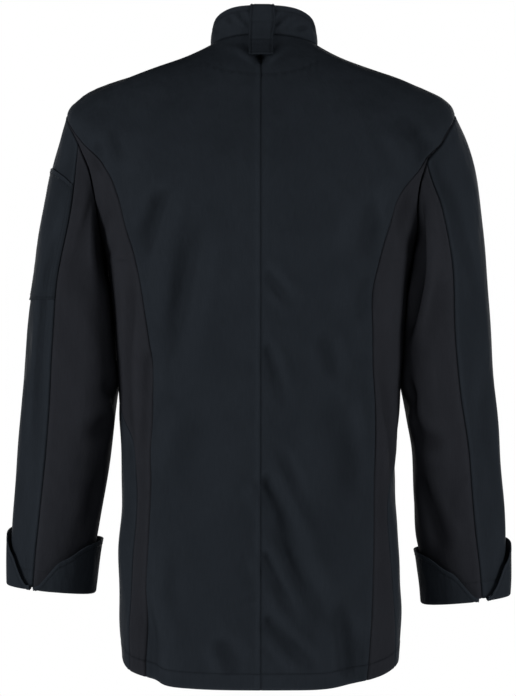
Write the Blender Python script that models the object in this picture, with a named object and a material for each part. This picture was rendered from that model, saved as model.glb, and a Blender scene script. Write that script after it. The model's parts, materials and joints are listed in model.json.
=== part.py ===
"""A chef jacket, hollow and filled out as if worn, built panel by panel.

Every panel is a cloth wall: a grid of points on the jacket's outer surface, the same points
moved inwards by the cloth's thickness, and a rim that joins the two grids.

Frame: metres, +Z up, the front faces -Y, +X is the wearer's left. The origin is the middle
of the neck, level with the side neck points. Angles round the body are in degrees: 0 is the
side line, 90 the centre back and -90 the centre front, on both halves of the body. A level
names a ring of the body by its height at the centre back. Turns round a sleeve are in
degrees too: 0 is the outer side, 90 the back, 180 the side next to the body.
"""

import math

import bmesh
import bpy
import numpy as np
from mathutils import Vector

CLOTH = 0.0020  # thickness of the body and sleeve cloth
COLLAR_CLOTH = 0.0024  # the collar is two layers and an interlining
SEAM_GAP = 0.00035  # between two pieces at a seam
LAP_LIFT = 0.0038  # how far the upper front stands off the lower one
STEP = 0.02  # degrees, for the slope of a surface
LEFT, RIGHT = 1, -1


def table(columns, rows):
    """A table with named columns, sorted by its first one, which is the key."""
    ordered = sorted(rows)
    return {name: np.array([row[i] for row in ordered]) for i, name in enumerate(columns.split())}


def curve(data, column, at):
    """A smooth curve through one column of a table, read at the given keys."""
    keys = data[next(iter(data))]
    values = data[column]
    slopes = np.gradient(values, keys)
    at = np.clip(at, keys[0], keys[-1])
    i = np.clip(np.searchsorted(keys, at) - 1, 0, len(keys) - 2)
    gap = keys[i + 1] - keys[i]
    u = (at - keys[i]) / gap
    start = values[i] * (1 + 2 * u) * (1 - u) ** 2 + slopes[i] * gap * u * (1 - u) ** 2
    end = values[i + 1] * u * u * (3 - 2 * u) + slopes[i + 1] * gap * u * u * (u - 1)
    return start + end


# ---------------------------------------------------------------- body

HEM, UNDERARM, SHOULDER_TIP, NECK = -0.751, -0.262, -0.128, 0.009  # levels

RISE = 1.5  # the power by which a ring climbs from its centre lines to its side lines

# Rings of the body: heights at its side and centre front, half widths of its two halves, depths
# behind and before the side line, squareness, and how level it stays behind and in front.
BODY = table(
    "level side_z front_z left right back front square flat",
    [
        (HEM, -0.722, -0.745, 0.1640, 0.1630, 0.130, 0.132, 2.3, 1.0),
        (-0.680, -0.666, -0.678, 0.1675, 0.1675, 0.129, 0.131, 2.3, 0.4),
        (-0.605, -0.600, -0.605, 0.1685, 0.1645, 0.123, 0.127, 2.3, 0.0),
        (-0.540, -0.540, -0.540, 0.1650, 0.1600, 0.113, 0.120, 2.3, 0.0),
        (-0.470, -0.470, -0.470, 0.1655, 0.1618, 0.106, 0.116, 2.35, 0.0),
        (-0.400, -0.400, -0.400, 0.1690, 0.1672, 0.109, 0.118, 2.4, 0.0),
        (-0.330, -0.330, -0.330, 0.1745, 0.1715, 0.117, 0.124, 2.5, 0.0),
        (UNDERARM, -0.250, -0.262, 0.1835, 0.1805, 0.124, 0.129, 2.8, 0.0),
        (-0.225, -0.200, -0.228, 0.196, 0.192, 0.127, 0.130, 3.1, 0.0),
        (-0.185, -0.148, -0.190, 0.212, 0.210, 0.1265, 0.128, 3.3, 0.0),
        (-0.150, -0.105, -0.157, 0.2240, 0.2250, 0.122, 0.123, 3.1, 0.0),
        (SHOULDER_TIP, -0.081, -0.137, 0.2290, 0.2300, 0.117, 0.117, 2.9, 0.0),
        (-0.100, -0.064, -0.117, 0.2160, 0.2185, 0.109, 0.111, 2.7, 0.0),
        (-0.075, -0.0525, -0.101, 0.1985, 0.1965, 0.100, 0.104, 2.6, 0.0),
        (-0.050, -0.0410, -0.087, 0.1680, 0.1675, 0.090, 0.097, 2.5, 0.0),
        (-0.030, -0.0305, -0.075, 0.1325, 0.1365, 0.080, 0.089, 2.4, 0.0),
        (-0.010, -0.0170, -0.064, 0.0930, 0.0985, 0.067, 0.081, 2.25, 0.0),
        (NECK, -0.0015, -0.055, 0.0590, 0.0675, 0.054, 0.074, 2.1, 0.0),
    ],
)

# Princess seams: height and distance from the centre back, for each half of the body.
PRINCESS = {
    LEFT: table(
        "z x",
        [
            (-0.7223, 0.1378), (-0.650, 0.1343), (-0.536, 0.1285), (-0.420, 0.1268), (-0.362, 0.1285),
            (-0.292, 0.1378), (-0.256, 0.1459), (-0.205, 0.1598), (-0.169, 0.1726), (-0.127, 0.1982),
        ],
    ),
    RIGHT: table(
        "z x",
        [
            (-0.7382, 0.1279), (-0.6615, 0.1300), (-0.536, 0.1327), (-0.427, 0.1326), (-0.3734, 0.1307),
            (-0.2845, 0.1315), (-0.2447, 0.1443), (-0.192, 0.1617), (-0.170, 0.1725), (-0.1398, 0.1919),
        ],
    ),
}
# Side seams: they leave the underarm in front of the side line and come round behind it.
UNDERARM_ANGLE = -10.0
SIDE_SEAM = {
    LEFT: table(
        "level angle",
        [
            (HEM, 22.0), (-0.650, 23.5), (-0.560, 24.0), (-0.510, 23.5), (-0.475, 21.0), (-0.440, 11.5),
            (-0.410, 1.5), (-0.375, -6.5), (-0.330, -9.5), (UNDERARM, UNDERARM_ANGLE),
        ],
    ),
    RIGHT: table(
        "level angle",
        [
            (HEM, 19.0), (-0.650, 20.0), (-0.560, 19.5), (-0.520, 17.0), (-0.490, 9.0), (-0.460, 0.0),
            (-0.420, -7.0), (-0.340, -10.0), (UNDERARM, UNDERARM_ANGLE),
        ],
    ),
}
ARMHOLE_BACK = {LEFT: 27.0, RIGHT: 31.0}  # how far the armhole reaches behind the side line
ARMHOLE_FRONT = 30.0
ARMHOLE_STEP = 15  # degrees of turn between the points of the armhole's edge
PRINCESS_TURN = 30  # where the princess seam meets the armhole
PRINCESS_TIP = 0.0012  # width of the side panel's point there
PRINCESS_REACH = 0.22  # how far that point is from the middle of the body
FOLDS_FROM_SIDE = 0.04  # depth from the side line at which the body's folds are full

# Folds of the body: both ends as x and z, then the width and the depth of the trough.
BACK_FOLDS = [
    (0.110, -0.181, 0.134, -0.256, 0.011, 0.0040),
    (0.073, -0.208, 0.080, -0.280, 0.014, 0.0030),
    (0.097, -0.311, 0.099, -0.397, 0.024, 0.0050),
    (0.102, -0.425, 0.125, -0.506, 0.014, -0.0030),
    (0.133, -0.650, 0.130, -0.740, 0.014, 0.0050),
    (-0.168, -0.110, -0.183, -0.154, 0.011, 0.0050),
    (-0.111, -0.198, -0.131, -0.268, 0.014, 0.0040),
    (-0.131, -0.268, -0.121, -0.333, 0.016, 0.0030),
    (-0.084, -0.420, -0.108, -0.544, 0.018, 0.0040),
    (-0.110, -0.670, -0.111, -0.745, 0.019, 0.0070),
    (-0.001, -0.499, -0.048, -0.568, 0.014, 0.0040),
    (-0.012, -0.544, -0.079, -0.694, 0.017, 0.0050),
]
FRONT_FOLDS = [
    (0.150, -0.215, 0.122, -0.300, 0.013, 0.0035),
    (-0.150, -0.205, -0.120, -0.310, 0.013, 0.0035),
    (0.155, -0.420, 0.122, -0.520, 0.014, 0.0040),
    (-0.150, -0.430, -0.120, -0.500, 0.014, 0.0040),
    (0.126, -0.600, 0.130, -0.740, 0.015, 0.0050),
    (-0.124, -0.610, -0.130, -0.740, 0.014, 0.0050),
]


def full_angle(side, angle):
    """An angle counted from the left side line all the way round the body."""
    return angle if side == LEFT else 180.0 - angle


def trough(folds, across, up):
    """How deep the folds go at each point of a surface laid out flat."""
    depth = np.zeros(np.shape(across))
    for x0, z0, x1, z1, width, deep in folds:
        run = np.array([x1 - x0, z1 - z0])
        share = ((across - x0) * run[0] + (up - z0) * run[1]) / (run @ run)
        share = np.clip(share, 0, 1)
        away = np.hypot(across - x0 - share * run[0], up - z0 - share * run[1])
        depth = depth + deep * np.exp(-((away / width) ** 2))
    return depth


def ring_point(angle, left, right, back, front, square, flat, side_z, back_z, front_z):
    """A point of a squared ellipse that climbs from its centre lines to its side lines."""
    cos, sin = np.cos(np.radians(angle)), np.sin(np.radians(angle))
    half = np.where(cos > 0, left, right)
    depth = np.where(sin > 0, back, front)
    reach = ((np.abs(cos) / half) ** square + (np.abs(sin) / depth) ** square) ** (-1 / square)
    x, y = reach * cos, reach * sin
    end_z = np.where(sin > 0, back_z, front_z)
    share = np.abs(y) / depth
    climb = share**RISE * (1 - flat) + share**2 * (3 - 2 * share) * flat
    return np.stack([x, y, side_z + (end_z - side_z) * climb], axis=-1)


def smooth_body(angle, level):
    """The body's outer surface before its folds."""
    columns = ("left", "right", "back", "front", "square", "flat", "side_z")
    ring = [curve(BODY, name, level) for name in columns]
    return ring_point(angle, *ring, level, curve(BODY, "front_z", level))


def outward(surface, a, b, step_a=STEP, step_b=0.0001):
    """The unit normal of a surface of two numbers, from its slopes."""
    along_a = surface(a + step_a, b) - surface(a - step_a, b)
    along_b = surface(a, b + step_b) - surface(a, b - step_b)
    normal = np.cross(along_a, along_b)
    return normal / np.linalg.norm(normal, axis=-1, keepdims=True)


def body(angle, level):
    """The body's outer surface with its folds."""
    angle, level = np.broadcast_arrays(np.asarray(angle, float), np.clip(level, HEM, NECK))
    point = smooth_body(angle, level)
    normal = outward(smooth_body, angle, level)
    behind = trough(BACK_FOLDS, point[..., 0], point[..., 2])
    before = trough(FRONT_FOLDS, point[..., 0], point[..., 2])
    facing = np.clip(point[..., 1] / FOLDS_FROM_SIDE, -1, 1)
    depth = np.where(facing > 0, behind, before) * np.abs(facing)
    return point - normal * depth[..., None]


def angle_at(side, x, level, facing=1):
    """The angle of the point at a distance x from the centre line, on a ring of the body."""
    square = curve(BODY, "square", level)
    half = curve(BODY, "left" if side == LEFT else "right", level)
    depth = curve(BODY, "back" if facing > 0 else "front", level)
    y = depth * np.clip(1 - (np.clip(x / half, 0, 1)) ** square, 0, 1) ** (1 / square)
    return np.degrees(np.arctan2(facing * y, x))


def armhole(side, turn):
    """The angle and level of the armhole's edge at a turn; turn 0 is the shoulder tip."""
    cos, sin = np.cos(np.radians(turn)), np.sin(np.radians(turn))
    level = (UNDERARM + SHOULDER_TIP) / 2 + (SHOULDER_TIP - UNDERARM) / 2 * cos
    reach = np.where(sin > 0, ARMHOLE_BACK[side], ARMHOLE_FRONT)
    return UNDERARM_ANGLE * (1 - cos) / 2 + reach * sin, level


def princess_angle(side, level):
    """The angle of the princess seam on a ring, found from its height there."""
    z = level
    for _ in range(6):
        angle = angle_at(side, curve(PRINCESS[side], "x", z), level)
        z = smooth_body(full_angle(side, angle), level)[..., 2]
    return angle


# ---------------------------------------------------------------- solids


def fabric_colour(name, colour, roughness):
    """A plain finish for a piece."""
    finish = bpy.data.materials.new(name)
    finish.use_nodes = True
    shader = finish.node_tree.nodes["Principled BSDF"]
    shader.inputs["Base Color"].default_value = (*colour, 1.0)
    shader.inputs["Roughness"].default_value = roughness
    return finish


def clear_scene():
    for thing in list(bpy.data.objects):
        bpy.data.objects.remove(thing, do_unlink=True)
    jacket = bpy.data.collections.new("chef_jacket")
    bpy.context.scene.collection.children.link(jacket)
    return jacket


def add_piece(name, mesh, finish):
    """An object in the jacket's collection, from a bmesh."""
    data = bpy.data.meshes.new(name)
    mesh.to_mesh(data)
    mesh.free()
    data.materials.append(finish)
    data.shade_smooth()
    data.set_sharp_from_angle(angle=math.radians(40))
    piece = bpy.data.objects.new(name, data)
    JACKET.objects.link(piece)
    return piece


def wall(name, outer, inner, finish):
    """A closed cloth wall between two grids of points of the same size."""
    rows, columns = outer.shape[:2]
    mesh = bmesh.new()
    bmesh.ops.create_grid(mesh, x_segments=columns - 1, y_segments=rows - 1, size=0.5)
    lifted = bmesh.ops.extrude_face_region(mesh, geom=mesh.faces[:])["geom"]
    raised = {vertex for vertex in lifted if isinstance(vertex, bmesh.types.BMVert)}
    for vertex in mesh.verts:
        column = round((vertex.co.x + 0.5) * (columns - 1))
        row = round((vertex.co.y + 0.5) * (rows - 1))
        grid = outer if vertex in raised else inner
        vertex.co = Vector(grid[row, column])
    bmesh.ops.recalc_face_normals(mesh, faces=mesh.faces)
    if mesh.calc_volume(signed=True) < 0:
        bmesh.ops.reverse_faces(mesh, faces=mesh.faces)
    return add_piece(name, mesh, finish)


def spaced(start, end, share):
    """Values between two columns of numbers, in the given shares."""
    start, end = np.asarray(start, float)[:, None], np.asarray(end, float)[:, None]
    return start + (end - start) * np.asarray(share, float)[None, :]


def body_wall(name, side, angles, levels, finish, lift=0.0):
    """A panel of the body's surface, from its grids of angles and levels."""
    angles = full_angle(side, angles)
    normal = outward(body, angles, levels)
    outer = body(angles, levels) + normal * np.asarray(lift)[..., None]
    return wall(name, outer, outer - normal * CLOTH, finish)


def inset(side, angle, level, share=0.5):
    """Degrees that move a seam's edge back by a share of the seam gap."""
    point = smooth_body(full_angle(side, angle), level)
    return np.degrees(share * SEAM_GAP / np.hypot(point[..., 0], point[..., 1]))


LOW_ROWS, TOP_ROWS = 18, 7
low_levels = np.linspace(HEM, UNDERARM, LOW_ROWS)
arm_turns = np.arange(180 - ARMHOLE_STEP, -1, -ARMHOLE_STEP)  # from the underarm up to the tip
arm_levels = armhole(LEFT, arm_turns)[1]
top_levels = np.linspace(SHOULDER_TIP, NECK, TOP_ROWS + 1)[1:]
ALL_LEVELS = np.concatenate([low_levels, arm_levels, top_levels])
ALL_TURNS = np.concatenate([np.full(LOW_ROWS, 180), arm_turns, np.zeros(TOP_ROWS)])

BACK_COLUMNS, SIDE_COLUMNS = 10, 5
FRONT_COLUMNS, LAP_COLUMNS = 9, 5
LAP_WIDTH = {LEFT: 0.094, RIGHT: 0.080}  # how far each front reaches past the centre front
LAP_TOP_FALL = 0.041  # how far its top edge falls on the way there
LAP_BEND = -0.170  # the level where the lap's rows begin to bend down
LAP_EASE = (-14.0, -42.0)  # angles between which the upper front lifts off the lower one


def princess_edge(side):
    """The seam between the back and the side panel, on the rows of the body."""
    meeting = len(low_levels) + int(np.where(arm_turns == PRINCESS_TURN)[0][0])
    seam = princess_angle(side, ALL_LEVELS)
    edge = armhole(side, ALL_TURNS)[0]
    tip = edge + np.degrees(PRINCESS_TIP / PRINCESS_REACH)
    blend = np.clip((np.arange(len(seam)) - meeting + 3) / 3, 0, 1)
    seam = seam * (1 - blend) + tip * blend
    return seam, meeting


def build_back(side):
    seam, meeting = princess_edge(side)
    edge = armhole(side, ALL_TURNS)[0]
    rows = np.arange(len(ALL_LEVELS))
    outer_edge = np.where(rows <= meeting, seam, edge)
    gap = inset(side, outer_edge, ALL_LEVELS)
    free = (rows > meeting) & (rows < len(low_levels) + len(arm_turns))
    start = outer_edge + np.where(free, 0, gap)
    centre = np.full(len(rows), 90.0) - inset(side, 90.0, ALL_LEVELS)
    angles = spaced(start, centre, np.linspace(0, 1, BACK_COLUMNS))
    levels = np.repeat(ALL_LEVELS[:, None], BACK_COLUMNS, axis=1)
    body_wall(f"back_{WORD[side]}", side, angles, levels, MAIN_CLOTH)


def build_side(side):
    seam, meeting = princess_edge(side)
    rows = np.arange(meeting + 1)
    levels = ALL_LEVELS[rows]
    edge = armhole(side, ALL_TURNS[rows])[0]
    low = rows < len(low_levels)
    start = np.where(low, curve(SIDE_SEAM[side], "angle", levels), edge)
    start = start + np.where(low, inset(side, start, levels), 0)
    end = seam[rows] - inset(side, seam[rows], levels)
    angles = spaced(start, end, np.linspace(0, 1, SIDE_COLUMNS))
    levels = np.repeat(levels[:, None], SIDE_COLUMNS, axis=1)
    body_wall(f"side_{WORD[side]}", side, angles, levels, STRETCH_CLOTH)


def lap_levels(share):
    """The levels of the rows in the lap, at a share of its width past the centre front."""
    top = NECK - LAP_TOP_FALL * share
    squeeze = (top - LAP_BEND) / (NECK - LAP_BEND)
    return np.where(ALL_LEVELS > LAP_BEND, LAP_BEND + (ALL_LEVELS - LAP_BEND) * squeeze, ALL_LEVELS)


def lap_lift(angle):
    """How far the upper front stands off at an angle of the left half."""
    share = np.clip((angle - LAP_EASE[0]) / (LAP_EASE[1] - LAP_EASE[0]), 0, 1)
    return LAP_LIFT * share * share * (3 - 2 * share)


def front_grid(side):
    """Angles and levels of a front, from its side edge past the centre to its free edge."""
    rows = np.arange(len(ALL_LEVELS))
    edge = armhole(side, -ALL_TURNS)[0]
    start = np.where(rows < len(low_levels), curve(SIDE_SEAM[side], "angle", ALL_LEVELS), edge)
    joined = (rows < len(low_levels)) | (rows >= len(low_levels) + len(arm_turns) - 1)
    start = start - np.where(joined, inset(side, start, ALL_LEVELS), 0)
    half = spaced(start, np.full(len(rows), -90.0), np.linspace(0, 1, FRONT_COLUMNS))
    levels = np.repeat(ALL_LEVELS[:, None], FRONT_COLUMNS, axis=1)
    columns, column_levels = [half], [levels]
    for share in np.linspace(0, 1, LAP_COLUMNS)[1:]:
        level = lap_levels(share)
        angle = -180.0 - angle_at(-side, LAP_WIDTH[side] * share, level, facing=-1)
        columns.append(angle[:, None])
        column_levels.append(level[:, None])
    return np.concatenate(columns, axis=1), np.concatenate(column_levels, axis=1)


def build_front(side):
    angles, levels = front_grid(side)
    lift = lap_lift(angles) if side == LEFT else np.zeros(angles.shape)
    body_wall(f"front_{WORD[side]}", side, angles, levels, MAIN_CLOTH, lift)


# ---------------------------------------------------------------- sleeves

CAP_END = -0.302  # height of the ring where the sleeve's cap ends
SLEEVE = {
    LEFT: table(
        "z centre_x half_x centre_y half_y",
        [
            (CAP_END, 0.2256, 0.0474, -0.002, 0.066), (-0.362, 0.2269, 0.0531, -0.004, 0.063),
            (-0.421, 0.2281, 0.0569, -0.008, 0.060), (-0.481, 0.2340, 0.0555, -0.014, 0.056),
            (-0.540, 0.2407, 0.0537, -0.021, 0.052), (-0.570, 0.2442, 0.0520, -0.025, 0.050),
            (-0.610, 0.2490, 0.0492, -0.030, 0.048), (-0.660, 0.2520, 0.0490, -0.035, 0.047),
        ],
    ),
    RIGHT: table(
        "z centre_x half_x centre_y half_y",
        [
            (CAP_END, 0.2228, 0.0482, -0.002, 0.066), (-0.362, 0.2229, 0.0533, -0.004, 0.063),
            (-0.421, 0.2254, 0.0546, -0.008, 0.060), (-0.481, 0.2332, 0.0522, -0.014, 0.056),
            (-0.540, 0.2368, 0.0541, -0.021, 0.052), (-0.576, 0.2393, 0.0536, -0.026, 0.050),
            (-0.620, 0.2445, 0.0495, -0.031, 0.048), (-0.680, 0.2470, 0.0492, -0.036, 0.047),
        ],
    ),
}
SLEEVE_END = {LEFT: -0.6445, RIGHT: -0.6575}  # mean height of the cuff's fold
SLEEVE_END_TILT = 0.005  # it lies higher on the outer side and lower next to the body
# Degrees from straight down in which the cap leaves the armhole, at its top and its underarm.
LEAVING = {LEFT: (18.0, 79.0), RIGHT: (29.0, 79.0)}
CAP_SWING = 0.12  # how far the cap swings to the back and the front as it leaves
# The back seam of the sleeve as run and turn; run 0 is the armhole, 1 the cap's end, 2 the cuff.
BACK_SEAM = {
    LEFT: table("run turn", [(0.0, 45), (0.3, 60), (1.0, 72), (1.3, 70), (1.6, 70), (2.0, 67)]),
    RIGHT: table("run turn", [(0.0, 60), (0.3, 68), (1.0, 86), (1.4, 78), (1.7, 75), (2.0, 68)]),
}
FRONT_SEAM = 240.0
# Folds of the sleeves: both ends as turn and z, then the width and the depth of the trough.
SLEEVE_FOLDS = {
    LEFT: [
        (95, -0.300, 150, -0.345, 0.012, 0.0035), (120, -0.400, 185, -0.435, 0.013, 0.0045),
        (100, -0.455, 165, -0.440, 0.012, 0.0035), (250, -0.395, 200, -0.425, 0.013, 0.0045),
        (52, -0.230, 50, -0.480, 0.008, 0.0022), (300, -0.480, 255, -0.520, 0.014, 0.0035),
    ],
    RIGHT: [
        (100, -0.300, 150, -0.340, 0.012, 0.0035), (125, -0.410, 185, -0.440, 0.013, 0.0045),
        (95, -0.470, 160, -0.455, 0.012, 0.0035), (250, -0.400, 200, -0.430, 0.013, 0.0045),
        (110, -0.520, 165, -0.545, 0.012, 0.0030), (300, -0.470, 255, -0.515, 0.014, 0.0035),
    ],
}
FOLD_START, FOLD_EASE = 0.15, 0.5  # runs over which a sleeve's folds stay away and come in
ARM_RADIUS = 0.055  # for turning degrees round a sleeve into metres of cloth
SLEEVE_SEAM_GAP = 0.0008  # counted round the sleeve, so the slanting back seam keeps its gap
ARMHOLE_GAP = 0.0008  # between the armhole and the sleeve, whose straight facets cut corners


def armhole_edge(side, turn):
    """The outer and inner points of the sleeve's first row, just inside the armhole."""
    angle, level = armhole(side, turn)
    full = full_angle(side, angle)
    point = body(full, level)
    normal = outward(body, full, level)
    after, before = armhole(side, turn + 1.0), armhole(side, turn - 1.0)
    along = body(full_angle(side, after[0]), after[1]) - body(full_angle(side, before[0]), before[1])
    inwards = np.cross(along, normal) * side
    inwards = inwards / np.linalg.norm(inwards, axis=-1, keepdims=True)
    edge = point + inwards * ARMHOLE_GAP
    return edge, edge - normal * CLOTH


def sleeve_ring(side, turn, z):
    """A point of the sleeve below its cap."""
    cos, sin = np.cos(np.radians(turn)), np.sin(np.radians(turn))
    shape = SLEEVE[side]
    x = curve(shape, "centre_x", z) + curve(shape, "half_x", z) * cos
    y = curve(shape, "centre_y", z) + curve(shape, "half_y", z) * sin
    return np.stack([side * x, y, z + 0 * x], axis=-1)


def sleeve_end(side, turn):
    return SLEEVE_END[side] + SLEEVE_END_TILT * np.cos(np.radians(turn))


def smooth_sleeve(side, turn, run):
    """The sleeve's outer surface before its folds."""
    cos, sin = np.cos(np.radians(turn)), np.sin(np.radians(turn))
    start = armhole_edge(side, turn)[0]
    end = sleeve_ring(side, turn, np.full(np.shape(turn), CAP_END))
    below = sleeve_ring(side, turn, np.full(np.shape(turn), CAP_END - 0.01))
    at_top, at_underarm = LEAVING[side]
    lean = np.radians(at_top + (at_underarm - at_top) * (1 - cos) / 2)
    leaving = np.stack([side * np.sin(lean), CAP_SWING * sin, -np.cos(lean)], axis=-1)
    arriving = (below - end) / np.linalg.norm(below - end, axis=-1, keepdims=True)
    span = np.linalg.norm(end - start, axis=-1, keepdims=True)
    u = np.clip(run, 0, 1)[..., None]
    cap = start * (1 + 2 * u) * (1 - u) ** 2 + leaving * span * u * (1 - u) ** 2
    cap = cap + end * u * u * (3 - 2 * u) + arriving * span * u * u * (u - 1)
    drop = np.clip(run - 1, 0, None)
    arm = sleeve_ring(side, turn, CAP_END + (sleeve_end(side, turn) - CAP_END) * drop)
    return np.where(run[..., None] <= 1, cap, arm)


def sleeve(side, turn, run):
    """The sleeve's outer surface with its folds."""
    turn, run = np.broadcast_arrays(np.asarray(turn, float), np.clip(run, 0, 2))

    def plain(a, b):
        return smooth_sleeve(side, a, b)

    point = plain(turn, run)
    normal = outward(plain, turn, run, 0.1, 0.002) * -side
    round_cloth = np.radians(np.mod(turn, 360)) * ARM_RADIUS
    folds = [
        (math.radians(a) * ARM_RADIUS, z, math.radians(b) * ARM_RADIUS, end, width, deep)
        for a, z, b, end, width, deep in SLEEVE_FOLDS[side]
    ]
    fade = np.clip((run - FOLD_START) / FOLD_EASE, 0, 1) * np.clip((2.0 - run) / FOLD_START, 0, 1)
    return point - normal * (trough(folds, round_cloth, point[..., 2]) * fade)[..., None]


def sleeve_wall_points(side, turn, run):
    """The outer and inner points of a sleeve's wall; its first row is the armhole's edge."""

    def folded(a, b):
        return sleeve(side, a, b)

    outer = sleeve(side, turn, run)
    normal = outward(folded, turn, run, 0.1, 0.002) * -side
    inner = outer - normal * CLOTH
    edge, edge_inside = armhole_edge(side, turn)
    first = (run <= 0)[..., None]
    return np.where(first, edge, outer), np.where(first, edge_inside, inner)


CAP_RUNS, ARM_RUNS = 6, 9
SLEEVE_RUNS = np.concatenate([np.linspace(0, 1, CAP_RUNS + 1), np.linspace(1, 2, ARM_RUNS + 1)[1:]])


def sleeve_grid(side, which):
    """Turns and runs of a sleeve panel, from one of its seams to the other."""
    back = curve(BACK_SEAM[side], "turn", SLEEVE_RUNS)
    front = np.full(len(SLEEVE_RUNS), FRONT_SEAM)
    gap = math.degrees(SLEEVE_SEAM_GAP / 2 / ARM_RADIUS)
    start, end = (front - 360 + gap, back - gap) if which == "upper" else (back + gap, front - gap)
    columns = round((end[0] - start[0]) / ARMHOLE_STEP) + 1
    turns = spaced(start, end, np.linspace(0, 1, columns))
    return turns, np.repeat(SLEEVE_RUNS[:, None], columns, axis=1)


def build_sleeve(side):
    for which, cloth in (("upper", MAIN_CLOTH), ("under", STRETCH_CLOTH)):
        turns, runs = sleeve_grid(side, which)
        outer, inner = sleeve_wall_points(side, turns, runs)
        wall(f"sleeve_{WORD[side]}_{which}", outer, inner, cloth)


# ---------------------------------------------------------------- cuffs

CUFF_OFF = 0.0045  # middle of the turned-back cloth, from the sleeve's outer face
CUFF_FLARE = 0.0025  # how much further its top edge stands off
CUFF_SPLIT = 0.0012  # half of the gap at the foot of the V
CUFF_GAP = 0.0006  # between the cuff's fold and the end of the sleeve
CUFF_COLUMNS, CUFF_ROWS, CUFF_FOLD_ROWS = 25, 4, 4
# Height of the cuff's top edge at a distance round the sleeve from the split.
CUFF_EDGE = table(
    "away height",
    [
        (0.0, 0.0010), (0.0095, 0.0067), (0.019, 0.020), (0.030, 0.034), (0.039, 0.041),
        (0.060, 0.0575), (0.085, 0.066), (0.165, 0.068),
    ],
)


def cuff_path(height):
    """The section of a cuff, as distance off the sleeve and height, and the way it faces."""
    radius = (CUFF_OFF + CLOTH / 2) / 2
    middle = CUFF_OFF - radius
    first = math.asin(CUFF_GAP / radius)
    bend = np.linspace(math.pi + first, 2 * math.pi, CUFF_FOLD_ROWS)
    fold = np.stack([middle + radius * np.cos(bend), radius * np.sin(bend)], axis=1)
    facing = np.stack([np.cos(bend), np.sin(bend)], axis=1)
    share = np.linspace(0, 1, CUFF_ROWS)[1:]
    flare = CUFF_FLARE / CUFF_EDGE["height"][-1]
    side = np.stack([CUFF_OFF + flare * height * share, height * share], axis=1)
    side_facing = np.tile([1.0, -flare], (len(share), 1))
    return np.concatenate([fold, side]), np.concatenate([facing, side_facing])


def build_cuff(side):
    """A turned-back cuff, open at the sleeve's back seam."""
    split = float(curve(BACK_SEAM[side], "turn", 2.0))
    ease = math.degrees(CUFF_SPLIT / ARM_RADIUS)
    share = np.linspace(-1, 1, CUFF_COLUMNS)
    share = np.sign(share) * np.abs(share) ** 0.85  # closer columns at the split
    turns = split + 180 + share * (180 - ease)
    outer, inner = [], []
    for turn in turns:
        away = math.radians(180 - abs(turn - split - 180)) * ARM_RADIUS
        path, facing = cuff_path(float(curve(CUFF_EDGE, "height", away)))
        z = sleeve_end(side, turn) + path[:, 1]
        on_sleeve = sleeve_ring(side, np.full(len(z), turn), z)
        across = np.array([side * math.cos(math.radians(turn)), math.sin(math.radians(turn)), 0])
        middle = on_sleeve + path[:, :1] * across
        normal = facing[:, :1] * across + facing[:, 1:] * np.array([0, 0, 1.0])
        outer.append(middle + normal * CLOTH / 2)
        inner.append(middle - normal * CLOTH / 2)
    wall(f"cuff_{WORD[side]}", np.array(outer), np.array(inner), MAIN_CLOTH)


# ---------------------------------------------------------------- pocket

POCKET_COLUMNS = 5
POCKET_TOP = (0.310, 0.270)  # run at its front and its back edge, so the mouth slopes
POCKET_FOOT = 1.0
POCKET_OFF = 0.0006
POCKET_CLOTH = 0.0012


def build_pocket():
    """A patch on the left upper sleeve, beside its back seam, made from the sleeve's points."""
    turns, runs = sleeve_grid(LEFT, "upper")
    outer, _ = sleeve_wall_points(LEFT, turns, runs)

    def folded(a, b):
        return sleeve(LEFT, a, b)

    normal = outward(folded, turns, np.maximum(runs, 0.05), 0.1, 0.002) * -LEFT
    points, normals = outer[:, -POCKET_COLUMNS:], normal[:, -POCKET_COLUMNS:]
    tops = np.linspace(POCKET_TOP[0], POCKET_TOP[1], POCKET_COLUMNS)
    between = SLEEVE_RUNS[(SLEEVE_RUNS > max(POCKET_TOP)) & (SLEEVE_RUNS <= POCKET_FOOT)]
    near, far = [], []
    for column, top in enumerate(tops):
        stops = np.concatenate([[top], between])

        def at(grid, stops=stops, column=column):
            return np.stack([np.interp(stops, SLEEVE_RUNS, grid[:, column, k]) for k in range(3)], axis=-1)

        base, lift = at(points), at(normals)
        near.append(base + lift * POCKET_OFF)
        far.append(base + lift * (POCKET_OFF + POCKET_CLOTH))
    wall("pen_pocket", np.array(far), np.array(near), MAIN_CLOTH)


# ---------------------------------------------------------------- collar

COLLAR_ROWS = 4
COLLAR_TOP = dict(left=0.0565, right=0.0685, back=0.0485, front=0.070, square=2.1, flat=0.0)
COLLAR_TOP_Z = dict(side_z=0.0210, back_z=0.0430, front_z=-0.0120)
COLLAR_CORNER = 0.014  # radius of its front corners
COLLAR_END = 0.0005  # each end stops this short of the centre front
COLLAR_HEIGHT = 0.040
COLLAR_BOW = 0.0015  # how far the middle of its height stands out
NECK_RADIUS = 0.07  # for turning degrees round the front of the collar into metres


def neck_edge(angle, level=NECK):
    """The neckline's outer and inner points and the way the collar rises from them."""
    lift = np.where(angle < 0, lap_lift(angle), 0)
    normal = outward(body, angle, np.full(np.shape(angle), level))
    point = body(angle, level) + normal * lift[..., None]
    rising = body(angle, level) - body(angle, level - 0.001)
    rising = rising / np.linalg.norm(rising, axis=-1, keepdims=True)
    return point, point - normal * CLOTH, rising


def collar(angle, share):
    """The collar's outer surface, from the neckline to its top edge."""
    base, _, rising = neck_edge(angle)
    top = ring_point(angle, **COLLAR_TOP, **COLLAR_TOP_Z)
    share = np.asarray(share)[..., None]
    bow = COLLAR_BOW * 4 * share * (1 - share)
    across = np.stack([np.cos(np.radians(angle)), np.sin(np.radians(angle)), 0 * angle], axis=-1)
    return (base + rising * SEAM_GAP) * (1 - share) + top * share + across * bow


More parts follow.
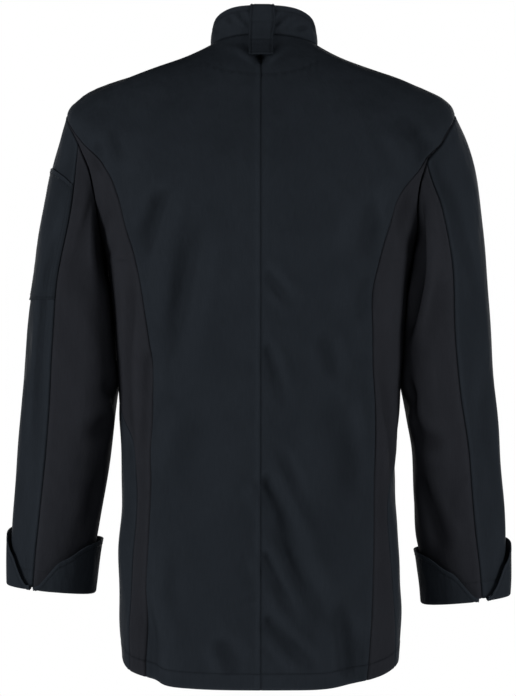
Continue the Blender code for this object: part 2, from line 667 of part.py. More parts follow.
def collar_angles():
    """The angles of the collar's columns, which are those of the panels under it."""
    half = front_grid(LEFT)[0][-1, :FRONT_COLUMNS][::-1]
    back = np.linspace(0, 90, BACK_COLUMNS)
    left = np.concatenate([half[:-1], back])
    both = np.concatenate([left, 180 - left[::-1][1:]])
    both[0] += math.degrees(COLLAR_END / NECK_RADIUS)
    both[-1] -= math.degrees(COLLAR_END / NECK_RADIUS)
    return both


def collar_share(angle):
    """The share of the collar's height that a column reaches, less at its rounded corners."""
    away = np.radians(180 - np.abs(angle - 90)) * NECK_RADIUS
    hollow = np.clip(1 - away / COLLAR_CORNER, 0, 1)
    return 1 - (1 - np.sqrt(1 - hollow**2)) * COLLAR_CORNER / COLLAR_HEIGHT


def build_collar():
    columns = collar_angles()
    angle = np.repeat(columns[None, :], COLLAR_ROWS, axis=0)
    share = np.linspace(0, 1, COLLAR_ROWS)[:, None] * collar_share(columns)[None, :]
    outer = collar(angle, share)
    normal = outward(collar, angle, share, STEP, 0.002)
    _, edge_inside, rising = neck_edge(angle)
    first = (share <= 0)[..., None]
    inner = np.where(first, edge_inside + rising * SEAM_GAP, outer - normal * COLLAR_CLOTH)
    wall("collar", outer, inner, MAIN_CLOTH)


LOOP_HALF_WIDTH = 0.0122
LOOP_CLOTH = 0.0014
LOOP_OFF = 0.0007
LOOP_COLUMNS = 5
LOOP_INSIDE = 0.35  # the share of the collar's height where its inner end stops
LOOP_FOOT = ((0.0035, 0.0030), (-0.0165, 0.0042))  # level of its lower points, and how far off


def build_loop():
    """The tab that hangs over the collar's top edge at the centre back."""
    outer, inner = [], []
    for x in np.linspace(LOOP_HALF_WIDTH, -LOOP_HALF_WIDTH, LOOP_COLUMNS):
        angle = 90 - math.degrees(x / COLLAR_TOP["back"])
        shares = np.linspace(0.15, 1, 4)
        at = np.full(len(shares), angle)
        face = collar(at, shares)
        normal = outward(collar, at, shares, STEP, 0.002)
        half = LOOP_OFF + LOOP_CLOTH / 2
        levels = np.array([level for level, _ in LOOP_FOOT])
        lower = 90 - np.degrees(x / curve(BODY, "back", levels))
        foot, below = body(lower, levels), outward(body, lower, levels)
        path = [point + below[i] * LOOP_FOOT[i][1] for i, point in enumerate(foot)][::-1]
        path += [point + normal[i] * half for i, point in enumerate(face)]
        rise = face[-1] - face[-2]
        rise = rise / np.linalg.norm(rise)
        top_middle = face[-1] - normal[-1] * COLLAR_CLOTH / 2
        arc = COLLAR_CLOTH / 2 + half
        for bend in (45, 90, 135):
            a = math.radians(bend)
            path.append(top_middle + normal[-1] * arc * math.cos(a) + rise * arc * math.sin(a))
        for share in (1.0, 0.7, LOOP_INSIDE):
            here = collar(np.array([angle]), np.array([share]))[0]
            facing = outward(collar, np.array([angle]), np.array([share]), STEP, 0.002)[0]
            path.append(here - facing * (COLLAR_CLOTH + half))
        path = np.array(path)
        along = np.gradient(path, axis=0)
        sideways = np.array([-math.sin(math.radians(angle)), math.cos(math.radians(angle)), 0])
        facing = np.cross(sideways, along)
        facing = facing / np.linalg.norm(facing, axis=1, keepdims=True)
        outer.append(path + facing * LOOP_CLOTH / 2)
        inner.append(path - facing * LOOP_CLOTH / 2)
    wall("collar_loop", np.array(outer), np.array(inner), MAIN_CLOTH)


# ---------------------------------------------------------------- buttons

BUTTON_RADIUS, BUTTON_THICK, BUTTON_ROUND = 0.0095, 0.0042, 0.0012
BUTTON_OFF = 0.0004
BUTTON_X = 0.072
BUTTON_ROWS = np.linspace(-0.115, -0.475, 5)


def level_on_front(x, z):
    """The level of the ring that passes a point of the front, by halving."""
    low, high = HEM, NECK - 0.03
    for _ in range(40):
        middle = (low + high) / 2
        angle = angle_at(LEFT, x, middle, facing=-1)
        low, high = (middle, high) if smooth_body(angle, middle)[2] < z else (low, middle)
    return middle


def build_button(name, side, z):
    """A plain round button that lies on the upper front."""
    level = level_on_front(BUTTON_X, z)
    angle = full_angle(side, angle_at(side, BUTTON_X, level, facing=-1))
    normal = outward(body, np.array([angle]), np.array([level]))[0]
    seat = body(angle, level) + normal * (LAP_LIFT + BUTTON_OFF)
    mesh = bmesh.new()
    bmesh.ops.create_cone(
        mesh, cap_ends=True, segments=16, radius1=BUTTON_RADIUS, radius2=BUTTON_RADIUS, depth=BUTTON_THICK
    )
    rim = [edge for edge in mesh.edges if len({face.normal.z > 0.5 for face in edge.link_faces}) == 2]
    bmesh.ops.bevel(mesh, geom=rim, offset=BUTTON_ROUND, segments=1, affect="EDGES", profile=0.5)
    button = add_piece(name, mesh, BUTTON_FINISH)
    button.location = Vector(seat + normal * BUTTON_THICK / 2)
    button.rotation_mode = "QUATERNION"
    button.rotation_quaternion = Vector(normal).to_track_quat("Z", "Y")


# ---------------------------------------------------------------- the jacket

WORD = {LEFT: "left", RIGHT: "right"}
JACKET = clear_scene()
MAIN_CLOTH = fabric_colour("main_cloth", (0.0125, 0.0155, 0.0195), 0.75)
STRETCH_CLOTH = fabric_colour("stretch_cloth", (0.016, 0.0155, 0.019), 0.7)
BUTTON_FINISH = fabric_colour("button_finish", (0.012, 0.013, 0.015), 0.4)

for half in (LEFT, RIGHT):
    build_back(half)
    build_side(half)
    build_front(half)
    build_sleeve(half)
    build_cuff(half)
    for number, height in enumerate(BUTTON_ROWS, start=1):
        build_button(f"button_{number}_{WORD[half]}", half, height)
build_pocket()
build_collar()
build_loop()
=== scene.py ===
# %% [markdown]
# # A chef jacket, panel by panel
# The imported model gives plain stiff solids. Each of them is replaced here by a thin cloth shell
# on the same form, with rolled seams, soft creases, a hem and rows of stitches. The first cell
# loads the solids, which stay where they are and are only hidden.

# %% The solids as a fixed frame
import json
import math

import bpy
import numpy as np
from mathutils import Matrix, Vector

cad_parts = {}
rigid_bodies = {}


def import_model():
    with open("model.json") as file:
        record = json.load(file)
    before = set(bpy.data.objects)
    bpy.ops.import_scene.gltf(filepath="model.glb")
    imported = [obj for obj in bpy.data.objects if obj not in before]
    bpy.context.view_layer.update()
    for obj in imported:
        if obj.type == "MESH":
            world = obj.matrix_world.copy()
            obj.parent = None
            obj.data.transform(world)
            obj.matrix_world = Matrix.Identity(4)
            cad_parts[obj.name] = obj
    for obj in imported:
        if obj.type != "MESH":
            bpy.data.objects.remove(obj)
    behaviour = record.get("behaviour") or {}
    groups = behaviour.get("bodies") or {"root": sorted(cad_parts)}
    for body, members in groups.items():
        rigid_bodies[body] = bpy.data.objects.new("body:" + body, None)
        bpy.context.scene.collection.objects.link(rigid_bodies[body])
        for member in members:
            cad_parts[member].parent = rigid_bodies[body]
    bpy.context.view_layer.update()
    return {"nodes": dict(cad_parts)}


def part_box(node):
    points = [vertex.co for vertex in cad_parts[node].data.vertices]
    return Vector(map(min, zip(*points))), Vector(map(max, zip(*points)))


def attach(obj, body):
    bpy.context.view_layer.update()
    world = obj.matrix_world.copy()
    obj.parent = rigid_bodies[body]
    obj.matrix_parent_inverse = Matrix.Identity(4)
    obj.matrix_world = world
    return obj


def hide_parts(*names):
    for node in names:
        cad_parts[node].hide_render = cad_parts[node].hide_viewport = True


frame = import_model()

# %% [markdown]
# ## Sizes in short tables
# A pattern maker keeps a few widths and lengths and draws smooth curves through them. The helpers
# below do the same: a table has named columns and its first one is the key, and a curve reads a
# column at any key between the rows. Angles round the body are in degrees: 0 is the side line,
# 90 the centre back and -90 the centre front. A level names a ring by its height at the back.

# %% Tables and curves
LEFT, RIGHT = 1, -1
WORD = {LEFT: "left", RIGHT: "right"}


def table(columns, rows):
    ordered = sorted(rows)
    return {name: np.array([row[i] for row in ordered]) for i, name in enumerate(columns.split())}


def cubic(u, start, leaving, end, arriving):
    """A smooth path from u = 0 to u = 1, with its slope at both ends."""
    first = start * (1 + 2 * u) * (1 - u) ** 2 + leaving * u * (1 - u) ** 2
    return first + end * u * u * (3 - 2 * u) + arriving * u * u * (u - 1)


def curve(data, column, at):
    """A column of a table, read on a smooth curve through its rows."""
    keys, values = data[next(iter(data))], data[column]
    slopes = np.gradient(values, keys)
    at = np.clip(at, keys[0], keys[-1])
    i = np.clip(np.searchsorted(keys, at) - 1, 0, len(keys) - 2)
    gap = keys[i + 1] - keys[i]
    return cubic((at - keys[i]) / gap, values[i], slopes[i] * gap, values[i + 1], slopes[i + 1] * gap)


def smooth(x):
    x = np.clip(x, 0, 1)
    return x * x * (3 - 2 * x)


def bell(x, width):
    """1 in the middle, and close to 0 from twice the width on."""
    return np.exp(-((x / width) ** 2))


def cos_sin(degrees):
    return np.cos(np.radians(degrees)), np.sin(np.radians(degrees))


def unit(vectors, spare=0.0):
    """The vectors at a length of 1; a little spare keeps one without length from dividing by 0."""
    return vectors / (np.linalg.norm(vectors, axis=-1, keepdims=True) + spare)


def read_at(keys, points, at):
    """Points that are kept for rising keys, read between them."""
    return np.stack([np.interp(at, keys, points[:, k]) for k in range(3)], axis=-1)


HILL = table("x y", [(0, 0), (1, 1), (2, 0)])
print("a curve through 0, 1 and 0, read at 0.5:", curve(HILL, "y", 0.5))


# %% Rings of the body
HEM, UNDERARM, SHOULDER_TIP, NECK = -0.751, -0.262, -0.128, 0.009
RISE = 1.5  # the power that a ring climbs by, from its side line to its centre lines
BODY = table(
    "level side_z front_z left right back front square flat",
    [
        (HEM, -0.722, -0.745, 0.1640, 0.1630, 0.130, 0.132, 2.3, 1.0),
        (-0.680, -0.666, -0.678, 0.1675, 0.1675, 0.129, 0.131, 2.3, 0.4),
        (-0.605, -0.600, -0.605, 0.1685, 0.1645, 0.123, 0.127, 2.3, 0.0),
        (-0.540, -0.540, -0.540, 0.1650, 0.1600, 0.113, 0.120, 2.3, 0.0),
        (-0.470, -0.470, -0.470, 0.1655, 0.1618, 0.106, 0.116, 2.35, 0.0),
        (-0.400, -0.400, -0.400, 0.1690, 0.1672, 0.109, 0.118, 2.4, 0.0),
        (-0.330, -0.330, -0.330, 0.1745, 0.1715, 0.117, 0.124, 2.5, 0.0),
        (UNDERARM, -0.250, -0.262, 0.1835, 0.1805, 0.124, 0.129, 2.8, 0.0),
        (-0.225, -0.200, -0.228, 0.196, 0.192, 0.127, 0.130, 3.1, 0.0),
        (-0.185, -0.148, -0.190, 0.212, 0.210, 0.1265, 0.128, 3.3, 0.0),
        (-0.150, -0.105, -0.157, 0.2240, 0.2250, 0.122, 0.123, 3.1, 0.0),
        (SHOULDER_TIP, -0.081, -0.137, 0.2290, 0.2300, 0.117, 0.117, 2.9, 0.0),
        (-0.100, -0.064, -0.117, 0.2160, 0.2185, 0.109, 0.111, 2.7, 0.0),
        (-0.075, -0.0525, -0.101, 0.1985, 0.1965, 0.100, 0.104, 2.6, 0.0),
        (-0.050, -0.0410, -0.087, 0.1680, 0.1675, 0.090, 0.097, 2.5, 0.0),
        (-0.030, -0.0305, -0.075, 0.1325, 0.1365, 0.080, 0.089, 2.4, 0.0),
        (-0.010, -0.0170, -0.064, 0.0930, 0.0985, 0.067, 0.081, 2.25, 0.0),
        (NECK, -0.0015, -0.055, 0.0590, 0.0675, 0.054, 0.074, 2.1, 0.0),
    ],
)


def full_angle(side, angle):
    return angle if side == LEFT else 180.0 - angle


def ring_point(angle, left, right, back, front, square, flat, side_z, back_z, front_z):
    """A point of a squared ellipse that climbs from its centre lines to its side lines."""
    cos, sin = cos_sin(angle)
    half, depth = np.where(cos > 0, left, right), np.where(sin > 0, back, front)
    reach = ((np.abs(cos) / half) ** square + (np.abs(sin) / depth) ** square) ** (-1 / square)
    x, y = reach * cos, reach * sin
    share = np.abs(y) / depth
    climb = share**RISE * (1 - flat) + smooth(share) * flat
    middle_z = np.where(sin > 0, back_z, front_z)
    return np.stack([x, y, side_z + (middle_z - side_z) * climb], axis=-1)


def smooth_body(angle, level):
    names = ("left", "right", "back", "front", "square", "flat", "side_z", "front_z")
    *sizes, front_z = [curve(BODY, name, level) for name in names]
    return ring_point(angle, *sizes, level, front_z)


def outward(surface, a, b, step_a=0.02, step_b=0.0001):
    """The unit normal of a surface of two numbers, from its slopes."""
    along_a = surface(a + step_a, b) - surface(a - step_a, b)
    along_b = surface(a, b + step_b) - surface(a, b - step_b)
    return unit(np.cross(along_a, along_b))



print("rings of the body:", len(BODY["level"]), "from the hem to the neck")

# %% [markdown]
# ## Creases
# Worn cloth creases where it is pulled or where it has too much length: drag lines run down from
# the centre back seam, troughs hang from the shoulder blades, and short folds bunch at the elbow.
# A cloth simulation could find such folds, but not in given places, so each is given as a row:
# both ends, a bow, the width on either side, the depth, how it widens, and how quickly it
# starts and dies away. A trough pushes up a low shoulder on either side. A negative depth is a ridge.

# %% A table of creases laid on a surface
# A row is x0, z0, x1, z1, bow, left, right, depth, widen, head, tail, with lengths in millimetres.
MM = 0.001
SHOULDER_SHARE, SHOULDER_AWAY = 0.28, 2.0


def creases(rows, across=MM, up=MM):
    """The rows in metres, from the units that their ends are given in."""
    return np.array(rows) * [across, up, across, up, MM, MM, MM, MM, 1, 1, 1]


def crease_depth(rows, across, up):
    total = np.zeros(np.shape(across))
    for x0, z0, x1, z1, bow, left, right, depth, widen, head, tail in rows:
        length = math.hypot(x1 - x0, z1 - z0)
        run = np.array([x1 - x0, z1 - z0]) / length
        s = ((across - x0) * run[0] + (up - z0) * run[1]) / length
        t = (up - z0) * run[0] - (across - x0) * run[1] - bow * 4 * s * (1 - s)
        q = np.abs(t) / (np.where(t > 0, left, right) * (1 + (widen - 1) * np.clip(s, 0, 1)))
        ease = smooth(s / head) * smooth((1 - s) / tail)
        total += depth * ease * (bell(q, 1) - SHOULDER_SHARE * bell(q - SHOULDER_AWAY, 1))
    return total


# Behind, x counts to the wearer's left. Widths are on the left and right of the way it runs.
BACK_CREASES = creases([
    (109, -170, 135, -266, 2, 13, 8, 7.2, 1.3, 0.25, 0.5),
    (74, -190, 112, -400, 0, 17, 14, 10, 1, 0.35, 0.4),
    (152, -262, 151, -400, 0, 6, 6, 3.1, 1, 0.4, 0.5),
    (142, -300, 142, -580, 1, 6, 8, -3.6, 1, 0.3, 0.4),
    (131, -350, 131, -435, 0, 5, 6, 3.9, 1, 0.4, 0.5),
    (100, -415, 127, -520, 2, 12, 15, -6.8, 1.2, 0.35, 0.5),
    (134, -630, 130, -765, -1, 8, 10, 10.1, 1.5, 0.5, 0.05),
    (118, -560, 122, -700, 0, 10, 9, -3.4, 1, 0.5, 0.5),
    (190, -106, 184, -162, 1, 10, 7, 5.2, 1, 0.5, 0.5),
    (177, -96, 160, -152, 1, 10, 9, 3.4, 1, 0.5, 0.5),
    (-160, -84, -200, -154, -3, 11, 9, 8.8, 1.2, 0.4, 0.4),
    (-172, -158, -159, -240, 0, 11, 10, 6.5, 1, 0.5, 0.5),
    (-134, -176, -120, -268, -1, 14, 12, 7.3, 1.1, 0.5, 0.5),
    (-131, -262, -120, -345, 2, 16, 14, 6, 1, 0.5, 0.5),
    (-73, -335, -88, -405, 0, 10, 8, 3.9, 1, 0.4, 0.5),
    (-82, -405, -110, -560, -3, 18, 16, 8.6, 1.2, 0.4, 0.5),
    (-110, -630, -111, -775, 0, 20, 18, 12.3, 1.3, 0.7, 0.05),
    (-130, -372, -149, -570, -2, 6, 5, -3.4, 1, 0.3, 0.5),
    (-3, -270, -40, -318, 0, 5.6, 6.4, 3.9, 1.2, 0.15, 0.7),
    (-3, -350, -28, -440, -1, 6.4, 5.6, 4.7, 1.3, 0.15, 0.7),
    (-20, -468, -47, -540, 0, 7.2, 6.4, 3.4, 1, 0.4, 0.6),
    (-1, -500, -57, -614, 2, 10.4, 7.2, 9.1, 1.3, 0.15, 0.6),
    (-10, -545, -93, -708, 4, 13.6, 10.4, 10.4, 1.2, 0.3, 0.6),
    (-1, -588, -46, -682, 2, 8, 6.4, 7.8, 1.3, 0.12, 0.6),
    (-1, -664, -68, -734, 2, 8, 6.4, 7, 1.2, 0.15, 0.6),
    (-1, -702, -17, -718, 0, 4, 4, 1.6, 1, 0.15, 0.7),
    (52, -688, 28, -738, 0, 8, 10, 5.2, 1.2, 0.4, 0.4),
    (-90, -636, -104, -748, 0, 11, 10, 6.5, 1.2, 0.4, 0.2),
    (0.5, -640, 26, -650, 0, 3, 4, 1.1, 1, 0.1, 0.7),
    (0.5, -200, 14, -199.5, 0, 2, 2, 0.9, 1, 0.1, 0.6),
    (0.5, -365.5, 17, -364.5, 0, 2, 2, 1, 1, 0.1, 0.6),
    (0.5, -657, 21, -658, 0, 2.2, 2, 1, 1, 0.1, 0.6),
    (-0.5, -366, -10, -369, 0, 2, 2, 0.8, 1, 0.1, 0.6),
    (0.5, 0, 0.5, -33, 0, 16, 16, 8.5, 0.15, 0.5, 0.5),
])
FRONT_CREASES = creases([
    (156, -200, 118, -310, 3, 14, 10, 5.6, 1.2, 0.3, 0.6),
    (-156, -190, -116, -320, -3, 10, 14, 5.6, 1.2, 0.3, 0.6),
    (140, -150, 116, -200, 0, 8, 8, 3.1, 1, 0.4, 0.6),
    (-144, -146, -112, -205, 0, 8, 8, 3.4, 1, 0.4, 0.6),
    (158, -400, 118, -530, 2, 14, 12, 6.2, 1.2, 0.3, 0.6),
    (-154, -415, -116, -515, -2, 12, 15, 5.9, 1.2, 0.3, 0.6),
    (126, -580, 131, -765, 1, 14, 13, 7.3, 1.4, 0.5, 0.05),
    (-124, -590, -131, -765, -1, 13, 14, 7, 1.4, 0.5, 0.05),
    (68, -210, 20, -245, 2, 9, 9, 2.5, 1, 0.3, 0.7),
    (-66, -300, -12, -330, 2, 10, 9, 2.8, 1, 0.2, 0.7),
    (66, -390, 12, -425, -2, 9, 9, 2.8, 1, 0.2, 0.7),
    (-78, -485, -40, -640, 4, 14, 12, 5, 1.3, 0.3, 0.6),
    (78, -480, 44, -610, -3, 12, 13, 4.2, 1.3, 0.3, 0.6),
    (92, -640, 82, -750, 0, 12, 12, 3.9, 1.2, 0.5, 0.1),
    (-52, -660, -60, -755, 0, 12, 12, 3.6, 1.2, 0.5, 0.1),
    (30, -120, 52, -180, 0, 10, 12, 2.2, 1, 0.4, 0.6),
])
CREASES_FROM_SIDE = 0.04  # where the creases behind and in front fade out, beside the side line


def body(angle, level):
    """The body's outer surface with its creases."""
    angle, level = np.broadcast_arrays(np.asarray(angle, float), np.clip(level, HEM, NECK))
    point = smooth_body(angle, level)
    facing = np.clip(point[..., 1] / CREASES_FROM_SIDE, -1, 1)
    behind = crease_depth(BACK_CREASES, point[..., 0], point[..., 2])
    before = crease_depth(FRONT_CREASES, point[..., 0], point[..., 2])
    depth = np.where(facing > 0, behind, before) * np.abs(facing)
    return point - outward(smooth_body, angle, level) * depth[..., None]


print("creases on the body:", len(BACK_CREASES), "behind,", len(FRONT_CREASES), "in front")

# %% [markdown]
# ## One cloth shell
# Every panel is a grid of points on the outer face. Its edges are finished as a sewer would:
# at a seam the cloth rolls in and leaves a groove with a soft ridge beside it, and a hem is
# folded double and held by a row of stitches that sinks in. The same grid, moved in by the
# thickness of the cloth, is the inner face, and a rounded rim joins the two.

# %% Grids of points
CLOTH = 0.0012
GRID = 0.0031
EDGE_STOPS = (0.0, 0.0005, 0.0011, 0.0019, 0.0031)
MARK_STOPS, MARK_CLEAR = np.array([-0.0012, -0.0005, 0.0, 0.0005, 0.0012]), 0.0018
WAVES, WAVE_SIZES = 9, (0.6, 1.8)
SPARE = 1e-12  # metres, for vectors that may have no length


def stops(length, step=GRID, marks=()):
    """Shares of a length for the lines of a grid, closer together at both ends and at marks."""
    middle = np.linspace(EDGE_STOPS[-1], length - EDGE_STOPS[-1], max(3, round(length / step)))
    ends = np.array(EDGE_STOPS[:-1])
    lines = np.concatenate([ends, middle, length - ends[::-1]])
    for mark in marks:
        lines = np.concatenate([lines[np.abs(lines - mark) > MARK_CLEAR], mark + MARK_STOPS])
    return np.sort(lines) / length


def between(start, end, shares):
    start, end = np.asarray(start, float)[:, None], np.asarray(end, float)[:, None]
    return start + (end - start) * np.asarray(shares, float)[None, :]


def lengths(points, axis):
    """How far each point of a grid is from the first, along the cloth."""
    steps = np.linalg.norm(np.diff(points, axis=axis), axis=-1)
    first = np.zeros_like(np.take(steps, [0], axis))
    return np.concatenate([first, np.cumsum(steps, axis=axis)], axis=axis)


def reaches(points):
    """How far each point of a grid is from its four edges, along the cloth."""
    across, up = lengths(points, 1), lengths(points, 0)
    return {"left": across, "right": across[:, -1:] - across, "low": up, "top": up[-1:] - up}


def normals(points, away):
    """Unit normals of a grid, on the side that 'away' points to, and whether they were turned."""
    normal = unit(np.cross(np.gradient(points, axis=1), np.gradient(points, axis=0)), SPARE)
    sign = np.sign((normal * away).sum(axis=-1).mean())
    return normal * sign, sign


def ripple(across, up, size, seed):
    """Slow uneven waves of a given size, about 1 high."""
    rng = np.random.default_rng(seed)
    total = np.zeros(np.shape(across))
    for _ in range(WAVES):
        heading, phase = rng.uniform(0, 2 * math.pi, 2)
        wave = size * rng.uniform(*WAVE_SIZES)
        run = across * math.cos(heading) + up * math.sin(heading)
        total += np.sin(2 * math.pi * run / wave + phase)
    return total / math.sqrt(WAVES)


print("grid lines over 20 mm of cloth:", np.round(20 * stops(20 * MM), 1).tolist())


# %% Finished edges
HEM_BAND, EDGE_BAND = 0.0185, 0.0060  # how deep the cloth is doubled, to its row of stitches


def finish(roll=0.0, ridge=0.0, band=0.0, pucker=0.0, dive=0.0):
    """How far an edge rolls in, the ridge beside it, a doubled band, its pucker, and how far it
    dives under its neighbour."""
    return dict(roll=roll, ridge=ridge, band=band, pucker=pucker, dive=dive)


FINISH = {
    "seam": finish(0.0008, 0.00025, pucker=0.00018),
    "bold": finish(0.0011, 0.00055, pucker=0.00022),
    "upper": finish(0.0004, 0.00060, pucker=0.00012),
    "under": finish(pucker=0.00012, dive=0.0021),
    "armhole": finish(0.0009, 0.0006, pucker=0.00030),
    "hem": finish(band=HEM_BAND, pucker=0.00035),
    "edge": finish(band=EDGE_BAND, pucker=0.00015),
    "fold": finish(),
    "pressed": finish(0.0007, band=0.0030, pucker=0.00015),
}
ROLL_SOFT, RIDGE_AT, RIDGE_SOFT = 0.0009, 0.0036, 0.0022
DIVE_WIDTH, DIVE_BEYOND = 0.0035, 0.0014
BAND_LIFT, BAND_SOFT, SINK, SINK_SOFT = 0.00035, 0.0015, 0.00055, 0.0010
PUCKER_PITCH, PUCKER_WANDER, PUCKER_FADE = 0.0105, (2.2, 0.067), 0.009
SWELL, SWELL_PITCH = 0.4, 0.11
LOFT, LOFT_SIZE, LOFT_FADE = 0.0007, 0.085, 0.030
# Pale rub on ridges and folded edges, and painted shade in seam grooves and along a hem's sunk stitch line.
RUB_AND_SHADE_FULL, EDGE_RUB, EDGE_RUB_SOFT, SINK_SHADE = 0.0014, 0.8, 0.0020, 0.5
# Painted shade in fold troughs and paler crests: grid lines either side, the bend for full shade, its fade
# from the edges, and its share.
FOLD_REACH, FOLD_FULL, FOLD_FADE = 4, 0.0030, 0.018  # grid lines either side, a full trough, its fade
FOLD_SHADE_SHARE = 0.3


def finish_edges(reach, edges, seed):
    """How far the finished edges move a panel's points outwards."""
    total = np.zeros(reach["left"].shape)
    for number, (edge, kind) in enumerate(edges.items()):
        make, away = FINISH[kind], reach[edge]
        along = 2 * math.pi * (reach["low"] if edge in ("left", "right") else reach["left"])
        total += make["ridge"] * bell(away - RIDGE_AT, RIDGE_SOFT) - make["roll"] * bell(away, ROLL_SOFT)
        total -= make["dive"] * (1 - smooth(away / DIVE_WIDTH))
        if make["band"]:
            total += BAND_LIFT * smooth((make["band"] - away) / BAND_SOFT + 0.5)
            total -= SINK * bell(away - make["band"], SINK_SOFT)
        wander = PUCKER_WANDER[0] * np.sin(along / PUCKER_WANDER[1] + seed + number)
        beat = np.sin(along / PUCKER_PITCH + wander)
        swell = 1 - SWELL + SWELL * np.sin(along / SWELL_PITCH + 2 * seed + number)
        total += make["pucker"] * beat * swell * np.exp(-np.abs(away - make["band"]) / PUCKER_FADE)
    return total


def edge_rub_and_shade(reach, edges):
    """Rubbed pale on the ridges beside seams and along folded edges, above 0, and painted shade, below 0, in
    the seams' grooves, where an edge dives under its neighbour and along a hem's sunk row of stitches.
    """
    total = np.zeros(reach["left"].shape)
    for edge, kind in edges.items():
        make, away = FINISH[kind], reach[edge]
        # A seam's groove gets painted shade and the ridge beside it pale rub; an edge that dives under its
        # neighbour gets painted shade.
        if make["roll"]:
            total -= make["roll"] / RUB_AND_SHADE_FULL * bell(away, ROLL_SOFT)
            total += make["ridge"] / RUB_AND_SHADE_FULL * bell(away - RIDGE_AT, RIDGE_SOFT)
        elif make["dive"]:
            total -= 1 - smooth(away / DIVE_WIDTH)
        else:
            total += EDGE_RUB * np.exp(-away / EDGE_RUB_SOFT)
        if make["band"]:
            total -= SINK_SHADE * bell(away - make["band"], SINK_SOFT)
    return total


def fold_rub_and_shade(points, normal, nearest):
    """Crests of folds are painted paler, above 0, as rub and painted highlight, and troughs darker, below 0,
    as painted shade.
    """
    hollow = np.zeros(points.shape[:2])
    for axis in (0, 1):
        if points.shape[axis] > 2 * FOLD_REACH + 1:
            margin = [(FOLD_REACH, FOLD_REACH) if a == axis else (0, 0) for a in range(3)]
            wide = np.pad(points, margin, mode="edge")
            ahead = np.take(wide, range(2 * FOLD_REACH, wide.shape[axis]), axis)
            behind = np.take(wide, range(wide.shape[axis] - 2 * FOLD_REACH), axis)
            hollow += ((ahead + behind - 2 * points) * normal).sum(axis=-1)
    hollow -= np.median(hollow)
    return np.clip(-hollow / FOLD_FULL, -1, 1) * smooth(nearest / FOLD_FADE)


print("ways to finish an edge:", ", ".join(FINISH))


# %% Meshes and objects
def new_mesh(name, points, edges, faces):
    mesh = bpy.data.meshes.new(name)
    mesh.from_pydata(points, edges, faces)
    return mesh


def keep_marks(mesh, title, places, wear_and_shade):
    """Keep each vertex's place in a UV map, and its pale rub and painted shade, for the materials to read."""
    corner = np.empty(len(mesh.loops), dtype=np.int32)
    mesh.loops.foreach_get("vertex_index", corner)
    mesh.uv_layers.new(name=title).data.foreach_set("uv", places[corner].ravel())
    mesh.attributes.new("wear_and_shade", "FLOAT", "POINT").data.foreach_set("value", wear_and_shade)
    mesh.shade_smooth()


def link(name, data):
    thing = bpy.data.objects.new(name, data)
    bpy.context.scene.collection.objects.link(thing)
    return thing


def add_piece(name, mesh, node, material):
    piece = link(name, mesh)
    mesh.materials.clear()
    mesh.materials.append(material)
    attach(piece, "root")
    if node:
        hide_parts(node)
    return piece


# %% A cloth wall
PANELS = {}
RIM_ROUND = 0.35  # how far the rim stands out, as a share of the cloth's thickness


def ring_of(grid):
    """The values of a grid round its four edges, in order."""
    return np.concatenate([grid[0, :-1], grid[:-1, -1], grid[-1, :0:-1], grid[:0:-1, 0]])


def wall_mesh(name, outer, inner, across, up, wear_and_shade, turned):
    rows, columns = outer.shape[:2]
    count = rows * columns
    index = np.arange(count).reshape(rows, columns)
    edge = ring_of(index)
    r, c = np.divmod(edge, columns)
    neighbour = np.clip(r, 1, rows - 2) * columns + np.clip(c, 1, columns - 2)
    outer, inner = outer.reshape(-1, 3), inner.reshape(-1, 3)
    out = unit(outer[edge] - outer[neighbour], SPARE)
    thick = np.linalg.norm(outer[edge] - inner[edge], axis=1, keepdims=True)
    rim = (outer[edge] + inner[edge]) / 2 + out * thick * RIM_ROUND
    face = np.stack([index[:-1, :-1], index[:-1, 1:], index[1:, 1:], index[1:, :-1]], axis=-1).reshape(-1, 4)
    k = 2 * count + np.arange(len(edge))
    after = np.roll(k, -1)
    upper = np.stack([edge, k, after, np.roll(edge, -1)], axis=1)
    lower = np.stack([k, edge + count, np.roll(edge, -1) + count, after], axis=1)
    faces = np.concatenate([face, face[:, ::-1] + count, upper, lower])
    if turned < 0:
        faces = faces[:, ::-1]
    mesh = new_mesh(name, np.concatenate([outer, inner, rim]).tolist(), [], faces.tolist())
    flat, wear_and_shade = np.stack([across.ravel(), up.ravel()], axis=1), wear_and_shade.ravel()
    places = np.concatenate([flat, flat, flat[edge]])
    wear_and_shade = np.concatenate([wear_and_shade, 0 * wear_and_shade, wear_and_shade[edge]])
    keep_marks(mesh, "cut", places, wear_and_shade)
    return mesh


def cloth(
    node, points, away, edges, material, slot="main_cloth",
    thick=CLOTH, loft=LOFT, lift=0.0, rests_on=(), seed=0,
):
    """A finished panel, made from the grid of points of its plain outer face."""
    reach = reaches(points)
    normal, _ = normals(points, away)
    across, up = reach["left"] - reach["left"][:, [points.shape[1] // 2]], reach["low"]
    nearest = np.minimum.reduce([reach[edge] for edge in edges])
    raised = finish_edges(reach, edges, seed) + lift
    raised = raised + loft * ripple(across, up, LOFT_SIZE, seed) * smooth(nearest / LOFT_FADE)
    outer = points + normal * raised[..., None]
    normal, turned = normals(outer, away)
    # Pale rub on ridges, folded edges and fold crests, with painted shade in seams and fold troughs, kept on
    # each point.
    wear_and_shade = np.clip(edge_rub_and_shade(reach, edges) + FOLD_SHADE_SHARE * fold_rub_and_shade(outer, normal, nearest), -1, 1)
    mesh = wall_mesh(node + "_cloth", outer, outer - normal * thick, across, up, wear_and_shade, turned)
    PANELS[node] = dict(points=outer, normal=normal, **reaches(outer))  # for the stitches to lie on
    piece = add_piece(node + "_cloth", mesh, node, material)


